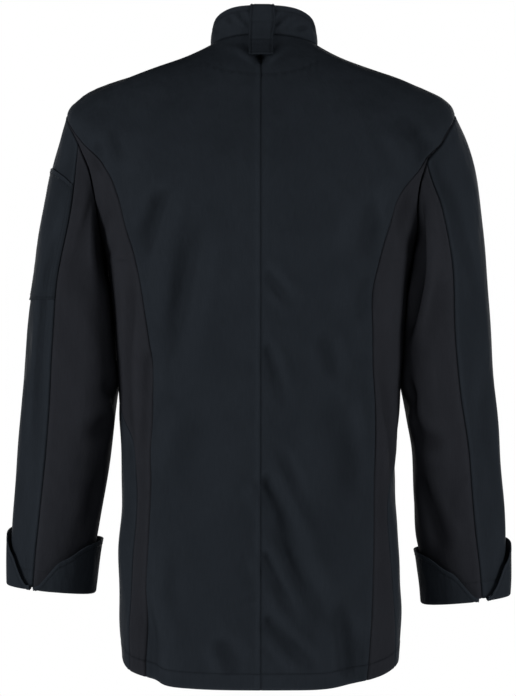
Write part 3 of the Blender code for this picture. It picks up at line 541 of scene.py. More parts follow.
# %% [markdown]
# ## Materials
# The jacket is a fine twill of polyester and cotton, blue-black, with a soft satin sheen. The
# side panels and the under-sleeves are a stretch cloth that looks a little warmer and duller.
# Both share one weave group: slanting ribs and crossing threads that follow the cut of each
# panel, because its UV map is measured in metres of cloth. A second group gives the uneven
# tone of dyed cloth, the paler rub marks along seams, and painted shade in seams and fold troughs.

# %% Node helpers
def feed(node, inputs):
    """Set a node's inputs, and link those that come from another node."""
    for key, value in inputs.items():
        if isinstance(value, bpy.types.NodeSocket):
            node.id_data.links.new(value, node.inputs[key])
        else:
            node.inputs[key].default_value = value


def new_node(tree, kind, inputs=None, **settings):
    node = tree.nodes.new(kind)
    for name, value in settings.items():
        setattr(node, name, value)
    feed(node, inputs or {})
    return node


def maths(tree, operation, a, b=0.0):
    return new_node(tree, "ShaderNodeMath", {0: a, 1: b}, operation=operation).outputs[0]


def new_group(name, inputs, outputs):
    """An empty group, with its inputs by name and value, and its outputs by name and kind."""
    group = bpy.data.node_groups.new(name, "ShaderNodeTree")
    for title, value in inputs.items():
        kind = "Vector" if value is None else "Float" if isinstance(value, float) else "Color"
        socket = group.interface.new_socket(title, in_out="INPUT", socket_type="NodeSocket" + kind)
        if value is not None:
            socket.default_value = value
    for title, kind in outputs.items():
        group.interface.new_socket(title, in_out="OUTPUT", socket_type="NodeSocket" + kind)
    return group, group.nodes.new("NodeGroupInput").outputs, group.nodes.new("NodeGroupOutput")


def waves(tree, along, pitch):
    turns = maths(tree, "MULTIPLY", maths(tree, "DIVIDE", along, pitch), 2 * math.pi)
    return maths(tree, "SINE", turns)


# %% The weave group
RIB_SHARE, YARN_SHARE, SLUB_SCALE = 0.35, 0.15, (900.0, 55.0, 1.0)
weave, given, result = new_group(
    "weave",
    {"Place": None, "Rib pitch": 0.0008, "Slant": 1.0, "Thread pitch": 0.0004},
    {"Height": "Float", "Slub": "Float"},
)
flat = new_node(weave, "ShaderNodeSeparateXYZ", {0: given["Place"]}).outputs
diagonal = maths(weave, "ADD", flat["Y"], maths(weave, "MULTIPLY", flat["X"], given["Slant"]))
rib = maths(weave, "MULTIPLY", waves(weave, diagonal, given["Rib pitch"]), RIB_SHARE)
yarn = maths(weave, "MULTIPLY", waves(weave, flat["Y"], given["Thread pitch"]), YARN_SHARE)
stretch = new_node(weave, "ShaderNodeMapping", {"Vector": given["Place"], "Scale": SLUB_SCALE})
noise = {"Vector": stretch.outputs[0], "Scale": 1.0, "Detail": 3.0, "Roughness": 0.6}
slub = new_node(weave, "ShaderNodeTexNoise", noise)
height = maths(weave, "ADD", maths(weave, "ADD", rib, yarn), 0.5)
feed(result, {"Height": height, "Slub": slub.outputs["Fac"]})
print("weave group:", len(weave.nodes), "nodes")

# %% The tone group
FLECK, CLOUD_SHIFT, RUB_SHIFT = 0.5, 0.35, -0.08
tone, given, result = new_group(
    "tone",
    {
        "Colour": (0.01, 0.012, 0.015, 1), "Place": None, "Wear and shade": 0.0, "Slub": 0.5,
        "Unevenness": 0.2, "Rub and shade": 0.35,
    },
    {"Colour": "Color", "Roughness shift": "Float"},
)
noise = {"Vector": given["Place"], "Scale": 14.0, "Detail": 4.0, "Roughness": 0.55}
clouds = new_node(tone, "ShaderNodeTexNoise", noise)
cloud = maths(tone, "MULTIPLY", maths(tone, "SUBTRACT", clouds.outputs["Fac"], 0.5), given["Unevenness"])
fleck = maths(tone, "MULTIPLY", maths(tone, "SUBTRACT", given["Slub"], 0.5), FLECK)
# The wear mark scales the colour: above 0 it is pale rub, below 0 painted shade in seams and fold troughs.
rub_and_shade_gain = maths(tone, "MULTIPLY", given["Wear and shade"], given["Rub and shade"])
gain = maths(tone, "ADD", maths(tone, "ADD", cloud, fleck), maths(tone, "ADD", rub_and_shade_gain, 1.0))
scaled = new_node(tone, "ShaderNodeVectorMath", {0: given["Colour"], "Scale": gain}, operation="SCALE")
shifted = [maths(tone, "MULTIPLY", cloud, CLOUD_SHIFT), maths(tone, "MULTIPLY", rub_and_shade_gain, RUB_SHIFT)]
feed(result, {"Colour": scaled.outputs[0], "Roughness shift": maths(tone, "ADD", *shifted)})
print("tone group:", len(tone.nodes), "nodes")


# %% Cloth materials
def dyed(name, colour, *, roughness, specular):
    """A material whose colour and roughness come from the tone group, and the nodes to add to."""
    material = bpy.data.materials.new(name)
    material.use_nodes = True
    tree = material.node_tree
    place = new_node(tree, "ShaderNodeTexCoord").outputs["Object"]
    dye = new_node(tree, "ShaderNodeGroup", node_tree=tone)
    feed(dye, {"Colour": (*colour, 1), "Place": place})
    shader = tree.nodes["Principled BSDF"]
    uneven = maths(tree, "ADD", dye.outputs["Roughness shift"], roughness)
    feed(shader, {"Base Color": dye.outputs["Colour"], "Roughness": uneven, "Specular IOR Level": specular})
    return material, tree, shader, dye, place


def relief(tree, height, strength, distance):
    return new_node(tree, "ShaderNodeBump", {"Height": height, "Strength": strength, "Distance": distance})


THREAD_SHARE, RIB_RELIEF = 0.53, 0.00012  # crossing threads for each rib, and how high the ribs stand
CLOTH_SHINE = 0.006
RUMPLE_SCALE, RUMPLE_STRETCH = 48.0, (1.0, 1.0, 0.45)


def cloth_material(name, colour, *, roughness, rib_pitch, bump, unevenness, rumpling):
    material, tree, shader, dye, place = dyed(name, colour, roughness=roughness, specular=CLOTH_SHINE)
    cut = new_node(tree, "ShaderNodeUVMap", uv_map="cut").outputs[0]
    # This attribute holds pale rub above 0 and painted shade below 0.
    shade_and_wear = new_node(tree, "ShaderNodeAttribute", attribute_name="wear_and_shade").outputs["Fac"]
    ribs = new_node(tree, "ShaderNodeGroup", node_tree=weave)
    feed(ribs, {"Place": cut, "Rib pitch": rib_pitch, "Thread pitch": rib_pitch * THREAD_SHARE})
    feed(dye, {"Unevenness": unevenness, "Wear and shade": shade_and_wear, "Slub": ribs.outputs["Slub"]})
    longer = new_node(tree, "ShaderNodeMapping", {"Vector": place, "Scale": RUMPLE_STRETCH})
    noise = {"Vector": longer.outputs[0], "Scale": RUMPLE_SCALE, "Detail": 3.0, "Roughness": 0.5}
    rumple = new_node(tree, "ShaderNodeTexNoise", noise)
    soft = relief(tree, rumple.outputs["Fac"], 1.0, rumpling)
    fine = relief(tree, ribs.outputs["Height"], bump, RIB_RELIEF)
    feed(fine, {"Normal": soft.outputs[0]})
    feed(shader, {"Normal": fine.outputs[0]})
    return material


main_cloth = cloth_material(
    "satin_twill", (0.0128, 0.0156, 0.0196), roughness=0.80,
    rib_pitch=0.0008, bump=0.25, unevenness=0.35, rumpling=0.0030,
)
stretch_cloth = cloth_material(
    "grey_stretch_cloth", (0.0143, 0.0152, 0.0184), roughness=0.85,
    rib_pitch=0.0006, bump=0.18, unevenness=0.25, rumpling=0.0018,
)
print("cloths:", main_cloth.name, "and", stretch_cloth.name)

# %% [markdown]
# ## The body: back, sides and fronts
# Two back panels meet at the centre back. A princess seam runs from high on each armhole down to
# the hem, and parts the back from the side panel. The fronts start at the side seam and cross
# over each other at the centre front, with the left one on top.

# %% Seams of the body
PRINCESS = {
    LEFT: table("z x", [
        (-0.7223, 0.1378), (-0.650, 0.1343), (-0.536, 0.1285), (-0.420, 0.1268), (-0.362, 0.1285),
        (-0.292, 0.1370), (-0.256, 0.1455), (-0.2287, 0.1529), (-0.1832, 0.1652), (-0.1638, 0.1725),
        (-0.1347, 0.1880), (-0.115, 0.2030),
    ]),
    RIGHT: table("z x", [
        (-0.7382, 0.1279), (-0.6615, 0.1300), (-0.536, 0.1327), (-0.427, 0.1322), (-0.3734, 0.1308),
        (-0.315, 0.1311), (-0.2745, 0.1342), (-0.2447, 0.1412), (-0.2275, 0.1458), (-0.1915, 0.1590),
        (-0.1721, 0.1690), (-0.1527, 0.1840), (-0.121, 0.2090),
    ]),
}
NECK_FACING = table("x z", [
    (-0.0673, -0.0247), (-0.052, -0.0325), (-0.0339, -0.0380), (-0.017, -0.0400), (-0.0005, -0.0403),
    (0.022, -0.0388), (0.0445, -0.0351), (0.057, -0.0300), (0.0681, -0.0247),
])
UNDERARM_ANGLE = -10.0
SIDE_SEAM = {
    LEFT: table("level angle", [
        (HEM, 22.0), (-0.650, 23.5), (-0.560, 24.0), (-0.510, 23.5), (-0.475, 21.0), (-0.440, 11.5),
        (-0.410, 1.5), (-0.375, -6.5), (-0.330, -9.5), (UNDERARM, UNDERARM_ANGLE),
    ]),
    RIGHT: table("level angle", [
        (HEM, 19.0), (-0.650, 20.0), (-0.560, 19.5), (-0.520, 17.0), (-0.490, 9.0), (-0.460, 0.0),
        (-0.420, -7.0), (-0.340, -10.0), (UNDERARM, UNDERARM_ANGLE),
    ]),
}
ARMHOLE_BACK, ARMHOLE_FRONT = {LEFT: 27.0, RIGHT: 31.0}, 30.0
PRINCESS_TURN, PRINCESS_EASE = 12, 60  # the turn where the seam ends, and how early it bends there
PRINCESS_TIP = 0.3  # degrees that the side panel's point is wide
SEAM_GAP = 0.00024
ROUNDS = 6  # how often the seam's height is read again from its angle


def angle_at(side, x, level, facing=1):
    square = curve(BODY, "square", level)
    half = curve(BODY, "left" if side == LEFT else "right", level)
    depth = curve(BODY, "back" if facing > 0 else "front", level)
    y = depth * np.clip(1 - (np.clip(x / half, 0, 1)) ** square, 0, 1) ** (1 / square)
    return np.degrees(np.arctan2(facing * y, x))


def armhole(side, turn):
    """The angle and level of the armhole's edge at a turn; turn 0 is the shoulder tip."""
    cos, sin = cos_sin(turn)
    level = (UNDERARM + SHOULDER_TIP) / 2 + (SHOULDER_TIP - UNDERARM) / 2 * cos
    return UNDERARM_ANGLE * (1 - cos) / 2 + np.where(sin > 0, ARMHOLE_BACK[side], ARMHOLE_FRONT) * sin, level


def princess_angle(side, level):
    z = level
    for _ in range(ROUNDS):
        angle = angle_at(side, curve(PRINCESS[side], "x", z), level)
        z = smooth_body(full_angle(side, angle), level)[..., 2]
    return angle


def inset(side, angle, level):
    """Degrees that move an edge back by half of the seam gap."""
    point = smooth_body(full_angle(side, angle), level)
    return np.degrees(SEAM_GAP / 2 / np.hypot(point[..., 0], point[..., 1]))


print(f"panels are {SEAM_GAP * 1000:.2f} mm apart at a seam")


# %% Rows of the body
ARM_STEP, TOP_STEP = 3, 0.0027
FAN, FAN_TOP = 0.13, 0.036  # how quickly the rows turn level, and how far they rise at the centre lines
low_rows = HEM + (UNDERARM - HEM) * stops(UNDERARM - HEM, marks=(HEM_BAND,))[: -len(EDGE_STOPS) + 1]
low_rows[-1] = UNDERARM
arm_turns = np.arange(180 - ARM_STEP, -1, -ARM_STEP)
top_rows = SHOULDER_TIP + (NECK - SHOULDER_TIP) * stops(NECK - SHOULDER_TIP, TOP_STEP)[1:]
LEVELS = np.concatenate([low_rows, armhole(LEFT, arm_turns)[1], top_rows])
TURNS = np.concatenate([np.full(len(low_rows), 180), arm_turns, np.zeros(len(top_rows))])
LOW, ARM = len(low_rows), len(arm_turns)
MEETING = LOW + int(np.where(arm_turns == PRINCESS_TURN)[0][0])
BODY_SEAMS = {"left": "seam", "right": "seam", "low": "hem"}
# At the centre lines the rows above the underarm are spread evenly, so they fan out from the tip.
CENTRE_LEVELS = LEVELS.copy()
CENTRE_LEVELS[LOW - 1 :] = np.interp(
    np.arange(LOW - 1, len(LEVELS)), [LOW - 1, LOW + ARM - 1, len(LEVELS) - 1],
    [UNDERARM, SHOULDER_TIP + FAN_TOP, NECK],
)
CENTRE_LEVELS[-len(EDGE_STOPS) :] = LEVELS[-len(EDGE_STOPS) :]
print("rows of the body:", len(LEVELS))


def fanned_levels(shares):
    """Levels of a grid whose rows leave the armhole steeply and run level at the centre line."""
    rise = np.tanh(np.asarray(shares) / FAN) / math.tanh(1 / FAN)
    return LEVELS[:, None] + (CENTRE_LEVELS - LEVELS)[:, None] * rise[None, :]


def princess_edge(side):
    tip = armhole(side, TURNS)[0] + PRINCESS_TIP
    blend = smooth((PRINCESS_TURN + PRINCESS_EASE - TURNS) / PRINCESS_EASE)
    return princess_angle(side, LEVELS) * (1 - blend) + tip * blend


FACING_END, FACING_FADE, FACING_SINK = 0.072, 0.008, (0.00060, 0.0019)
FACING_PUCKER, FACING_WANDER, FACING_SPREAD = (0.00070, 0.0090), (1.5, 0.011), 0.005


def facing_groove(side, angles, levels):
    """The row of stitches of the neck facing pulls the back in, with small puckers beside it."""
    x, _, z = np.moveaxis(smooth_body(full_angle(side, angles), levels), -1, 0)
    off, ends = z - curve(NECK_FACING, "z", x), smooth((FACING_END - np.abs(x)) / FACING_FADE)
    (high, pitch), (wander, wave), (deep, soft) = FACING_PUCKER, FACING_WANDER, FACING_SINK
    beat = high * np.sin(2 * math.pi * x / pitch + wander * np.sin(x / wave))
    return ends * (beat * np.exp(-np.abs(off) / FACING_SPREAD) - deep * bell(off, soft))


def body_panel(node, side, angles, levels, lift=0.0, **more):
    points = body(full_angle(side, angles), levels)
    return cloth(node, points, points * (1, 1, 0), lift=lift, **more)


# %% Back and side panels
BACK_WIDE, SIDE_WIDE, FRONT_WIDE = 0.175, 0.070, 0.215
for side in (LEFT, RIGHT):
    rows = np.arange(len(LEVELS))
    seam = princess_edge(side)
    edge = np.where(rows <= MEETING, seam, armhole(side, TURNS)[0])
    edge = edge + inset(side, edge, LEVELS)
    beyond = 1.0 if side == LEFT else -2 * DIVE_BEYOND / SEAM_GAP
    middle = np.full(len(rows), 90.0) - inset(side, 90.0, LEVELS) * beyond
    shares = stops(BACK_WIDE)
    angles, levels = between(edge, middle, shares), fanned_levels(shares)
    body_panel(
        "back_" + WORD[side], side, angles, levels, lift=facing_groove(side, angles, levels),
        edges=BODY_SEAMS | {"right": "upper" if side == LEFT else "under", "top": "seam"},
        material=main_cloth, seed=3 + side,
    )
    rows = rows[: MEETING + 1]
    start = np.where(rows < LOW, curve(SIDE_SEAM[side], "angle", LEVELS[rows]), armhole(side, TURNS[rows])[0])
    start = start + inset(side, start, LEVELS[rows])
    angles = between(start, seam[rows] - inset(side, seam[rows], LEVELS[rows]), stops(SIDE_WIDE))
    body_panel(
        "side_" + WORD[side], side, angles, np.repeat(LEVELS[rows][:, None], angles.shape[1], axis=1),
        edges=BODY_SEAMS, material=stretch_cloth, slot="stretch_cloth", seed=8 + side,
    )

# %% The two fronts
LAP_WIDTH = {LEFT: 0.094, RIGHT: 0.080}
LAP_TOP_FALL, LAP_BEND, LAP_LIFT, LAP_EASE = 0.041, -0.170, 0.0038, (-14.0, -42.0)
LAP_JOIN = 0.4  # the lap's first column is this share of a step nearer the centre line


def lap_levels(share):
    squeeze = (NECK - LAP_TOP_FALL * share - LAP_BEND) / (NECK - LAP_BEND)
    return np.where(CENTRE_LEVELS > LAP_BEND, LAP_BEND + (CENTRE_LEVELS - LAP_BEND) * squeeze, CENTRE_LEVELS)


def lap_lift(angle):
    """How far the upper front stands off the lower one at an angle of the left half."""
    return LAP_LIFT * smooth((angle - LAP_EASE[0]) / (LAP_EASE[1] - LAP_EASE[0]))


for side in (LEFT, RIGHT):
    below_arm = np.arange(len(LEVELS)) < LOW
    start = np.where(below_arm, curve(SIDE_SEAM[side], "angle", LEVELS), armhole(side, -TURNS)[0])
    start = start - inset(side, start, LEVELS)
    shares = stops(FRONT_WIDE)[: -len(EDGE_STOPS) + 1] / stops(FRONT_WIDE)[-len(EDGE_STOPS)]
    columns, levels = [between(start, np.full(len(LEVELS), -90.0), shares)], [fanned_levels(shares)]
    shares = stops(LAP_WIDTH[side])[len(EDGE_STOPS) - 1 :]
    for share in (shares - shares[0] * LAP_JOIN) / (1 - shares[0] * LAP_JOIN):
        level = lap_levels(share)
        columns.append((-180.0 - angle_at(-side, LAP_WIDTH[side] * share, level, facing=-1))[:, None])
        levels.append(level[:, None])
    angles, levels = np.concatenate(columns, axis=1), np.concatenate(levels, axis=1)
    body_panel(
        "front_" + WORD[side], side, angles, levels, lift=lap_lift(angles) if side == LEFT else 0.0,
        edges={"left": "seam", "right": "edge", "low": "hem", "top": "seam"},
        material=main_cloth, seed=14 + side,
    )

# %% [markdown]
# ## Sleeves
# A two-piece sleeve has an upper and an under panel, so it can bend forward at the elbow. The
# cap starts at the armhole's edge and swings down into a tube. Round a sleeve, turn 0 is its
# outer side, 90 its back and 180 the side next to the body; a run of 0 is the armhole, 1 the
# end of the cap and 2 the cuff.

# %% Sizes of the sleeves
CAP_END, ARM_RADIUS = -0.302, 0.055
TURN = math.radians(1) * ARM_RADIUS  # the cloth in one degree round the arm
SLEEVE_COLUMNS = "z centre_x half_x centre_y half_y"
SLEEVE = {
    LEFT: table(SLEEVE_COLUMNS, [
        (CAP_END, 0.2256, 0.0474, -0.002, 0.066), (-0.362, 0.2269, 0.0531, -0.004, 0.063),
        (-0.421, 0.2281, 0.0569, -0.008, 0.060), (-0.481, 0.2340, 0.0555, -0.014, 0.056),
        (-0.540, 0.2407, 0.0537, -0.021, 0.052), (-0.570, 0.2442, 0.0520, -0.025, 0.050),
        (-0.610, 0.2490, 0.0492, -0.030, 0.048), (-0.660, 0.2520, 0.0490, -0.035, 0.047),
    ]),
    RIGHT: table(SLEEVE_COLUMNS, [
        (CAP_END, 0.2228, 0.0482, -0.002, 0.066), (-0.362, 0.2229, 0.0533, -0.004, 0.063),
        (-0.421, 0.2254, 0.0546, -0.008, 0.060), (-0.481, 0.2332, 0.0522, -0.014, 0.056),
        (-0.540, 0.2368, 0.0541, -0.021, 0.052), (-0.576, 0.2393, 0.0536, -0.026, 0.050),
        (-0.620, 0.2445, 0.0495, -0.031, 0.048), (-0.680, 0.2470, 0.0492, -0.036, 0.047),
    ]),
}
SLEEVE_END, SLEEVE_TILT = {LEFT: -0.6445, RIGHT: -0.6575}, 0.005
LEAVING, CAP_SWING, CAP_BULGE = {LEFT: (18.0, 5.0), RIGHT: (29.0, 5.0)}, 0.12, {LEFT: 2.3, RIGHT: 1.5}
# Beside the body a sleeve is squarer, and reaches forward below the armhole.
BESIDE = table("z square reach", [
    (-0.520, 2.1, 0.0), (-0.440, 2.8, 0.0), (-0.400, 3.2, 0.003), (-0.360, 3.8, 0.005), (CAP_END, 4.4, 0.006),
])
BACK_SEAM = {
    LEFT: table("run turn", [(0.0, 45), (0.3, 60), (1.0, 72), (1.3, 70), (1.6, 70), (2.0, 67)]),
    RIGHT: table("run turn", [(0.0, 60), (0.3, 68), (1.0, 86), (1.4, 78), (1.7, 75), (2.0, 70)]),
}
FRONT_SEAM = 240.0
# Creases of the sleeves, with turns in degrees where the body's have x.
SLEEVE_CREASES = {
    LEFT: creases([
        (52, -215, 51, -500, 1, 7, 5, 4, 1, 0.2, 0.4),
        (59, -225, 58, -480, 1, 4, 4, -2, 1, 0.2, 0.4),
        (118, -395, 190, -440, 4, 14, 11, 4, 1, 0.4, 0.4),
        (98, -460, 170, -438, -3, 11, 12, 3.4, 1, 0.4, 0.4),
        (255, -385, 195, -430, -3, 12, 13, 4.5, 1, 0.4, 0.4),
        (300, -470, 250, -525, 3, 14, 12, 3.6, 1, 0.4, 0.4),
        (90, -330, 96, -560, 2, 20, 16, -2, 1, 0.4, 0.5),
        (150, -480, 128, -590, 2, 12, 10, 3, 1, 0.4, 0.5),
        (20, -300, 12, -420, 2, 14, 12, 1.6, 1, 0.5, 0.5),
        (330, -350, 300, -400, 2, 12, 12, 2.8, 1, 0.5, 0.5),
    ], TURN),
    RIGHT: creases([
        (84, -140, 158, -360, 0, 8, 13, 19, 1.1, 0.2, 0.35),
        (120, -405, 190, -445, 4, 14, 11, 4.6, 1, 0.4, 0.4),
        (95, -475, 165, -450, -3, 11, 12, 3.4, 1, 0.4, 0.4),
        (255, -390, 195, -435, -3, 12, 13, 4.5, 1, 0.4, 0.4),
        (152, -500, 114, -606, -3, 10, 10, 5.2, 1, 0.3, 0.3),
        (150, -380, 134, -470, 2, 9, 8, 3.6, 1, 0.4, 0.5),
        (300, -460, 250, -520, 3, 14, 12, 3.6, 1, 0.4, 0.4),
        (58, -200, 50, -330, 1, 12, 10, 1.8, 1, 0.4, 0.5),
        (45, -380, 40, -560, 1, 14, 12, 1.6, 1, 0.4, 0.5),
        (330, -340, 300, -395, 2, 12, 12, 2.8, 1, 0.5, 0.5),
    ], TURN),
}
print("creases on the sleeves:", len(SLEEVE_CREASES[LEFT]), "left,", len(SLEEVE_CREASES[RIGHT]), "right")


# %% The form of a sleeve
EDGE_TURNS, EDGE_TUCK = np.arange(-122.0, 243.0, 1.0), 0.0004
EDGE_POINTS = {}
for side in (LEFT, RIGHT):
    angle, level = armhole(side, EDGE_TURNS)
    point = body(full_angle(side, angle), level)
    normal = outward(body, full_angle(side, angle), level) * side
    inwards = np.cross(np.gradient(point, axis=0), normal)
    EDGE_POINTS[side] = point + unit(inwards) * EDGE_TUCK
    whole_turn = EDGE_POINTS[side][:361, None]
    print(f"{WORD[side]} armhole: {lengths(whole_turn, 0)[-1, 0] * 1000:.0f} mm round")


def sleeve_ring(side, turn, z):
    cos, sin = cos_sin(turn)
    centre_x, half_x, centre_y, half_y = [curve(SLEEVE[side], name, z) for name in SLEEVE_COLUMNS.split()[1:]]
    power = np.where(cos < 0, 2 / curve(BESIDE, "square", z), 1.0)
    forward = np.where((cos < 0) & (sin < 0), 4 * np.abs(sin) * (1 - np.abs(sin)), 0)
    x = centre_x + half_x * np.sign(cos) * np.abs(cos) ** power - curve(BESIDE, "reach", z) * forward
    return np.stack([side * x, centre_y + half_y * np.sign(sin) * np.abs(sin) ** power, z + 0 * x], axis=-1)


def sleeve_end(side, turn):
    return SLEEVE_END[side] + SLEEVE_TILT * np.cos(np.radians(turn))


ARRIVE_STEP, CREASE_START, CREASE_STOP = 0.01, (0.04, 0.26), 0.12


def smooth_sleeve(side, turn, run):
    cos, sin = cos_sin(turn)
    edge = read_at(EDGE_TURNS, EDGE_POINTS[side], turn)
    end = sleeve_ring(side, turn, np.full(np.shape(turn), CAP_END))
    below = sleeve_ring(side, turn, np.full(np.shape(turn), CAP_END - ARRIVE_STEP))
    at_top, at_underarm = LEAVING[side]
    lean = np.radians(at_top + (at_underarm - at_top) * (1 - cos) / 2)
    swing = CAP_SWING * sin + CAP_BULGE[side] * np.clip(sin, 0, None) * np.clip(-cos, 0, None)
    leaving = np.stack([side * np.sin(lean), swing, -np.cos(lean)], axis=-1)
    span = np.linalg.norm(end - edge, axis=-1, keepdims=True)
    cap = cubic(np.clip(run, 0, 1)[..., None], edge, leaving * span, end, unit(below - end) * span)
    arm = sleeve_ring(side, turn, CAP_END + (sleeve_end(side, turn) - CAP_END) * np.clip(run - 1, 0, None))
    return np.where(run[..., None] <= 1, cap, arm)


def sleeve_points(side, turns, runs):
    """A grid of points on the sleeve's outer face with its creases."""
    points = smooth_sleeve(side, turns, runs)
    z = points[..., 2]
    middle = np.stack([side * curve(SLEEVE[side], "centre_x", z), 0 * turns, z], axis=-1)
    normal, _ = normals(points, points - middle)
    depth = crease_depth(SLEEVE_CREASES[side], np.mod(turns, 360) * TURN, z)
    fade = smooth((runs - CREASE_START[0]) / CREASE_START[1]) * smooth((2.0 - runs) / CREASE_STOP)
    return points - normal * (depth * fade)[..., None], points - middle


# %% Upper and under panels
CAP_LONG, ARM_LONG, SLEEVE_WIDE, CAP_STEP = 0.125, 0.343, 0.172, 0.0029
RUNS = np.concatenate([stops(CAP_LONG, CAP_STEP)[: -len(EDGE_STOPS) + 1], 1 + stops(ARM_LONG)[1:]])
RUNS = np.unique(np.clip(RUNS, 0, 2))
SLEEVE_GAP = math.degrees(SEAM_GAP / 2 / ARM_RADIUS)
ARMHOLE_TUCK, TUCK_SOFT, TUCK_FROM = 0.0014, 0.0022, (12, 40)  # the tuck spares the sleeve's outer side
SLEEVE_HEM, HEM_SINK, HEM_SOFT = 0.0200, 0.0007, 0.0016
for side in (LEFT, RIGHT):
    back = curve(BACK_SEAM[side], "turn", RUNS)
    front = np.full(len(RUNS), FRONT_SEAM)
    for which, start, end, material, slot in (
        ("upper", front - 360 + SLEEVE_GAP, back - SLEEVE_GAP, main_cloth, "main_cloth"),
        ("under", back + SLEEVE_GAP, front - SLEEVE_GAP, stretch_cloth, "stretch_cloth"),
    ):
        turns = between(start, end, stops(SLEEVE_WIDE))
        points, away = sleeve_points(side, turns, np.repeat(RUNS[:, None], turns.shape[1], axis=1))
        lower = smooth((np.abs((turns + 180) % 360 - 180) - TUCK_FROM[0]) / TUCK_FROM[1])
        reach = reaches(points)
        tuck = ARMHOLE_TUCK * bell(reach["low"], TUCK_SOFT) * lower
        tuck = tuck + HEM_SINK * bell(reach["top"] - SLEEVE_HEM, HEM_SOFT)
        edges = {"left": "bold", "right": "bold", "low": "armhole", "top": "fold"}
        name = f"sleeve_{WORD[side]}_{which}"
        cloth(name, points, away, edges, material, slot, lift=-tuck, seed=20 + side + len(which))

# %% [markdown]
# ## Turned-back cuffs
# The end of each sleeve folds outwards and up, and is split at the back seam. The split edges
# fall away from each other in a V. The section of a cuff is a small half circle at its fold and
# a nearly straight side, and its height changes round the arm.

# %% Cuffs
CUFF_CLOTH, CUFF_OFF, CUFF_FLARE, CUFF_FALL = 0.0017, 0.0045, 0.0020, 0.007
CUFF_SPLIT, CUFF_LOW = {LEFT: 0.0028, RIGHT: 0.0066}, {LEFT: 0.0026, RIGHT: 0.0050}
CUFF_TALL, CUFF_ROUND, CUFF_STEP, CUFF_LEAST = 0.068, 0.33, (0.0026, 0.0028), 0.001
FOLD_WIDE, FOLD_POINTS, FOLD_FROM = CUFF_OFF + 0.0010, 9, 1.06
CUFF_BULGE, BULGE_FULL, FALL_FULL, SPLIT_CROWD = 0.0012, 0.05, 0.05, 0.85
CUFF_EDGE = table("away height", [
    (0.0, 0.0010), (0.0052, 0.0022), (0.0105, 0.0072), (0.019, 0.019), (0.030, 0.0345), (0.039, 0.041),
    (0.060, 0.0575), (0.085, 0.066), (0.165, CUFF_TALL),
])


def cuff_path(height):
    """The section of a cuff, as distance off the sleeve and height."""
    radius = FOLD_WIDE / 2
    bend = np.linspace(math.pi * FOLD_FROM, 2 * math.pi, FOLD_POINTS)
    fold = np.stack([CUFF_OFF - radius + radius * np.cos(bend), radius * np.sin(bend)], axis=1)
    share = stops(CUFF_TALL, CUFF_STEP[0])[1:]
    flare = CUFF_FLARE / CUFF_TALL * height * share
    bulge = CUFF_BULGE * np.sin(math.pi * share) * min(1.0, height / BULGE_FULL)
    return np.concatenate([fold, np.stack([CUFF_OFF + flare + bulge, height * share], axis=1)])


for side in (LEFT, RIGHT):
    split_turn = float(curve(BACK_SEAM[side], "turn", 2.0))
    ease = math.degrees(CUFF_SPLIT[side] / ARM_RADIUS)
    columns = []
    for share in 2 * stops(CUFF_ROUND, CUFF_STEP[1]) - 1:
        share = math.copysign(abs(share) ** SPLIT_CROWD, share)
        turn = split_turn + 180 + share * (180 - ease)
        away = math.radians(180 - abs(turn - split_turn - 180)) * ARM_RADIUS
        cos, sin = cos_sin(turn)
        fall = CUFF_FALL * (1 - cos) / 2  # lower beside the body
        rise = float(curve(CUFF_EDGE, "height", away - CUFF_LOW[side]))
        path = cuff_path(max(rise - fall * min(1, away / FALL_FULL), CUFF_LEAST))
        z = sleeve_end(side, turn) + path[:, 1]
        across = np.array([side * cos, sin, 0])
        columns.append(sleeve_ring(side, np.full(len(z), turn), z) + path[:, :1] * across)
    points = np.stack(columns, axis=1)
    middle = np.array([side * SLEEVE[side]["centre_x"][0], SLEEVE[side]["centre_y"][0], 0])
    cloth(
        "cuff_" + WORD[side], points, (points - middle) * (1, 1, 0),
        {"left": "fold", "right": "fold", "low": "fold", "top": "edge"}, main_cloth, thick=CUFF_CLOTH,
        loft=0.0004, lift=0.0008, seed=30 + side,
        rests_on=[f"sleeve_{WORD[side]}_upper_cloth", f"sleeve_{WORD[side]}_under_cloth"],
    )

# %% [markdown]
# ## Pen pocket
# A narrow patch on the left upper sleeve, beside its back seam, with a sloping mouth. It is made
# from the sleeve's own points, moved out, so it follows every crease below it.

# %% The pocket on the sleeve
POCKET_SIDES, POCKET_MOUTH, POCKET_FOOT = (7 / 11, 0.985), (0.310, 0.195), 1.0
POCKET_SIZE, POCKET_OFF, POCKET_GAPE, GAPE_DEEP = (0.055, 0.085), 0.0011, 0.0005, 0.008
ARM_MIDDLE = [0.21, 0, 0]


def on_panel(node, column_shares, row_values, rows_at, lift):
    """Points of a finished panel at shares of its columns and at given runs, moved out."""
    panel = PANELS[node]
    grid = panel["points"] + panel["normal"] * lift
    width = grid.shape[1] - 1
    out = np.empty((*np.shape(row_values), 3))
    for j, place in enumerate(column_shares * width):
        i = min(int(place), width - 1)
        column = grid[:, i] + (grid[:, i + 1] - grid[:, i]) * (place - i)
        out[:, j] = read_at(rows_at, column, row_values[:, j])
    return out


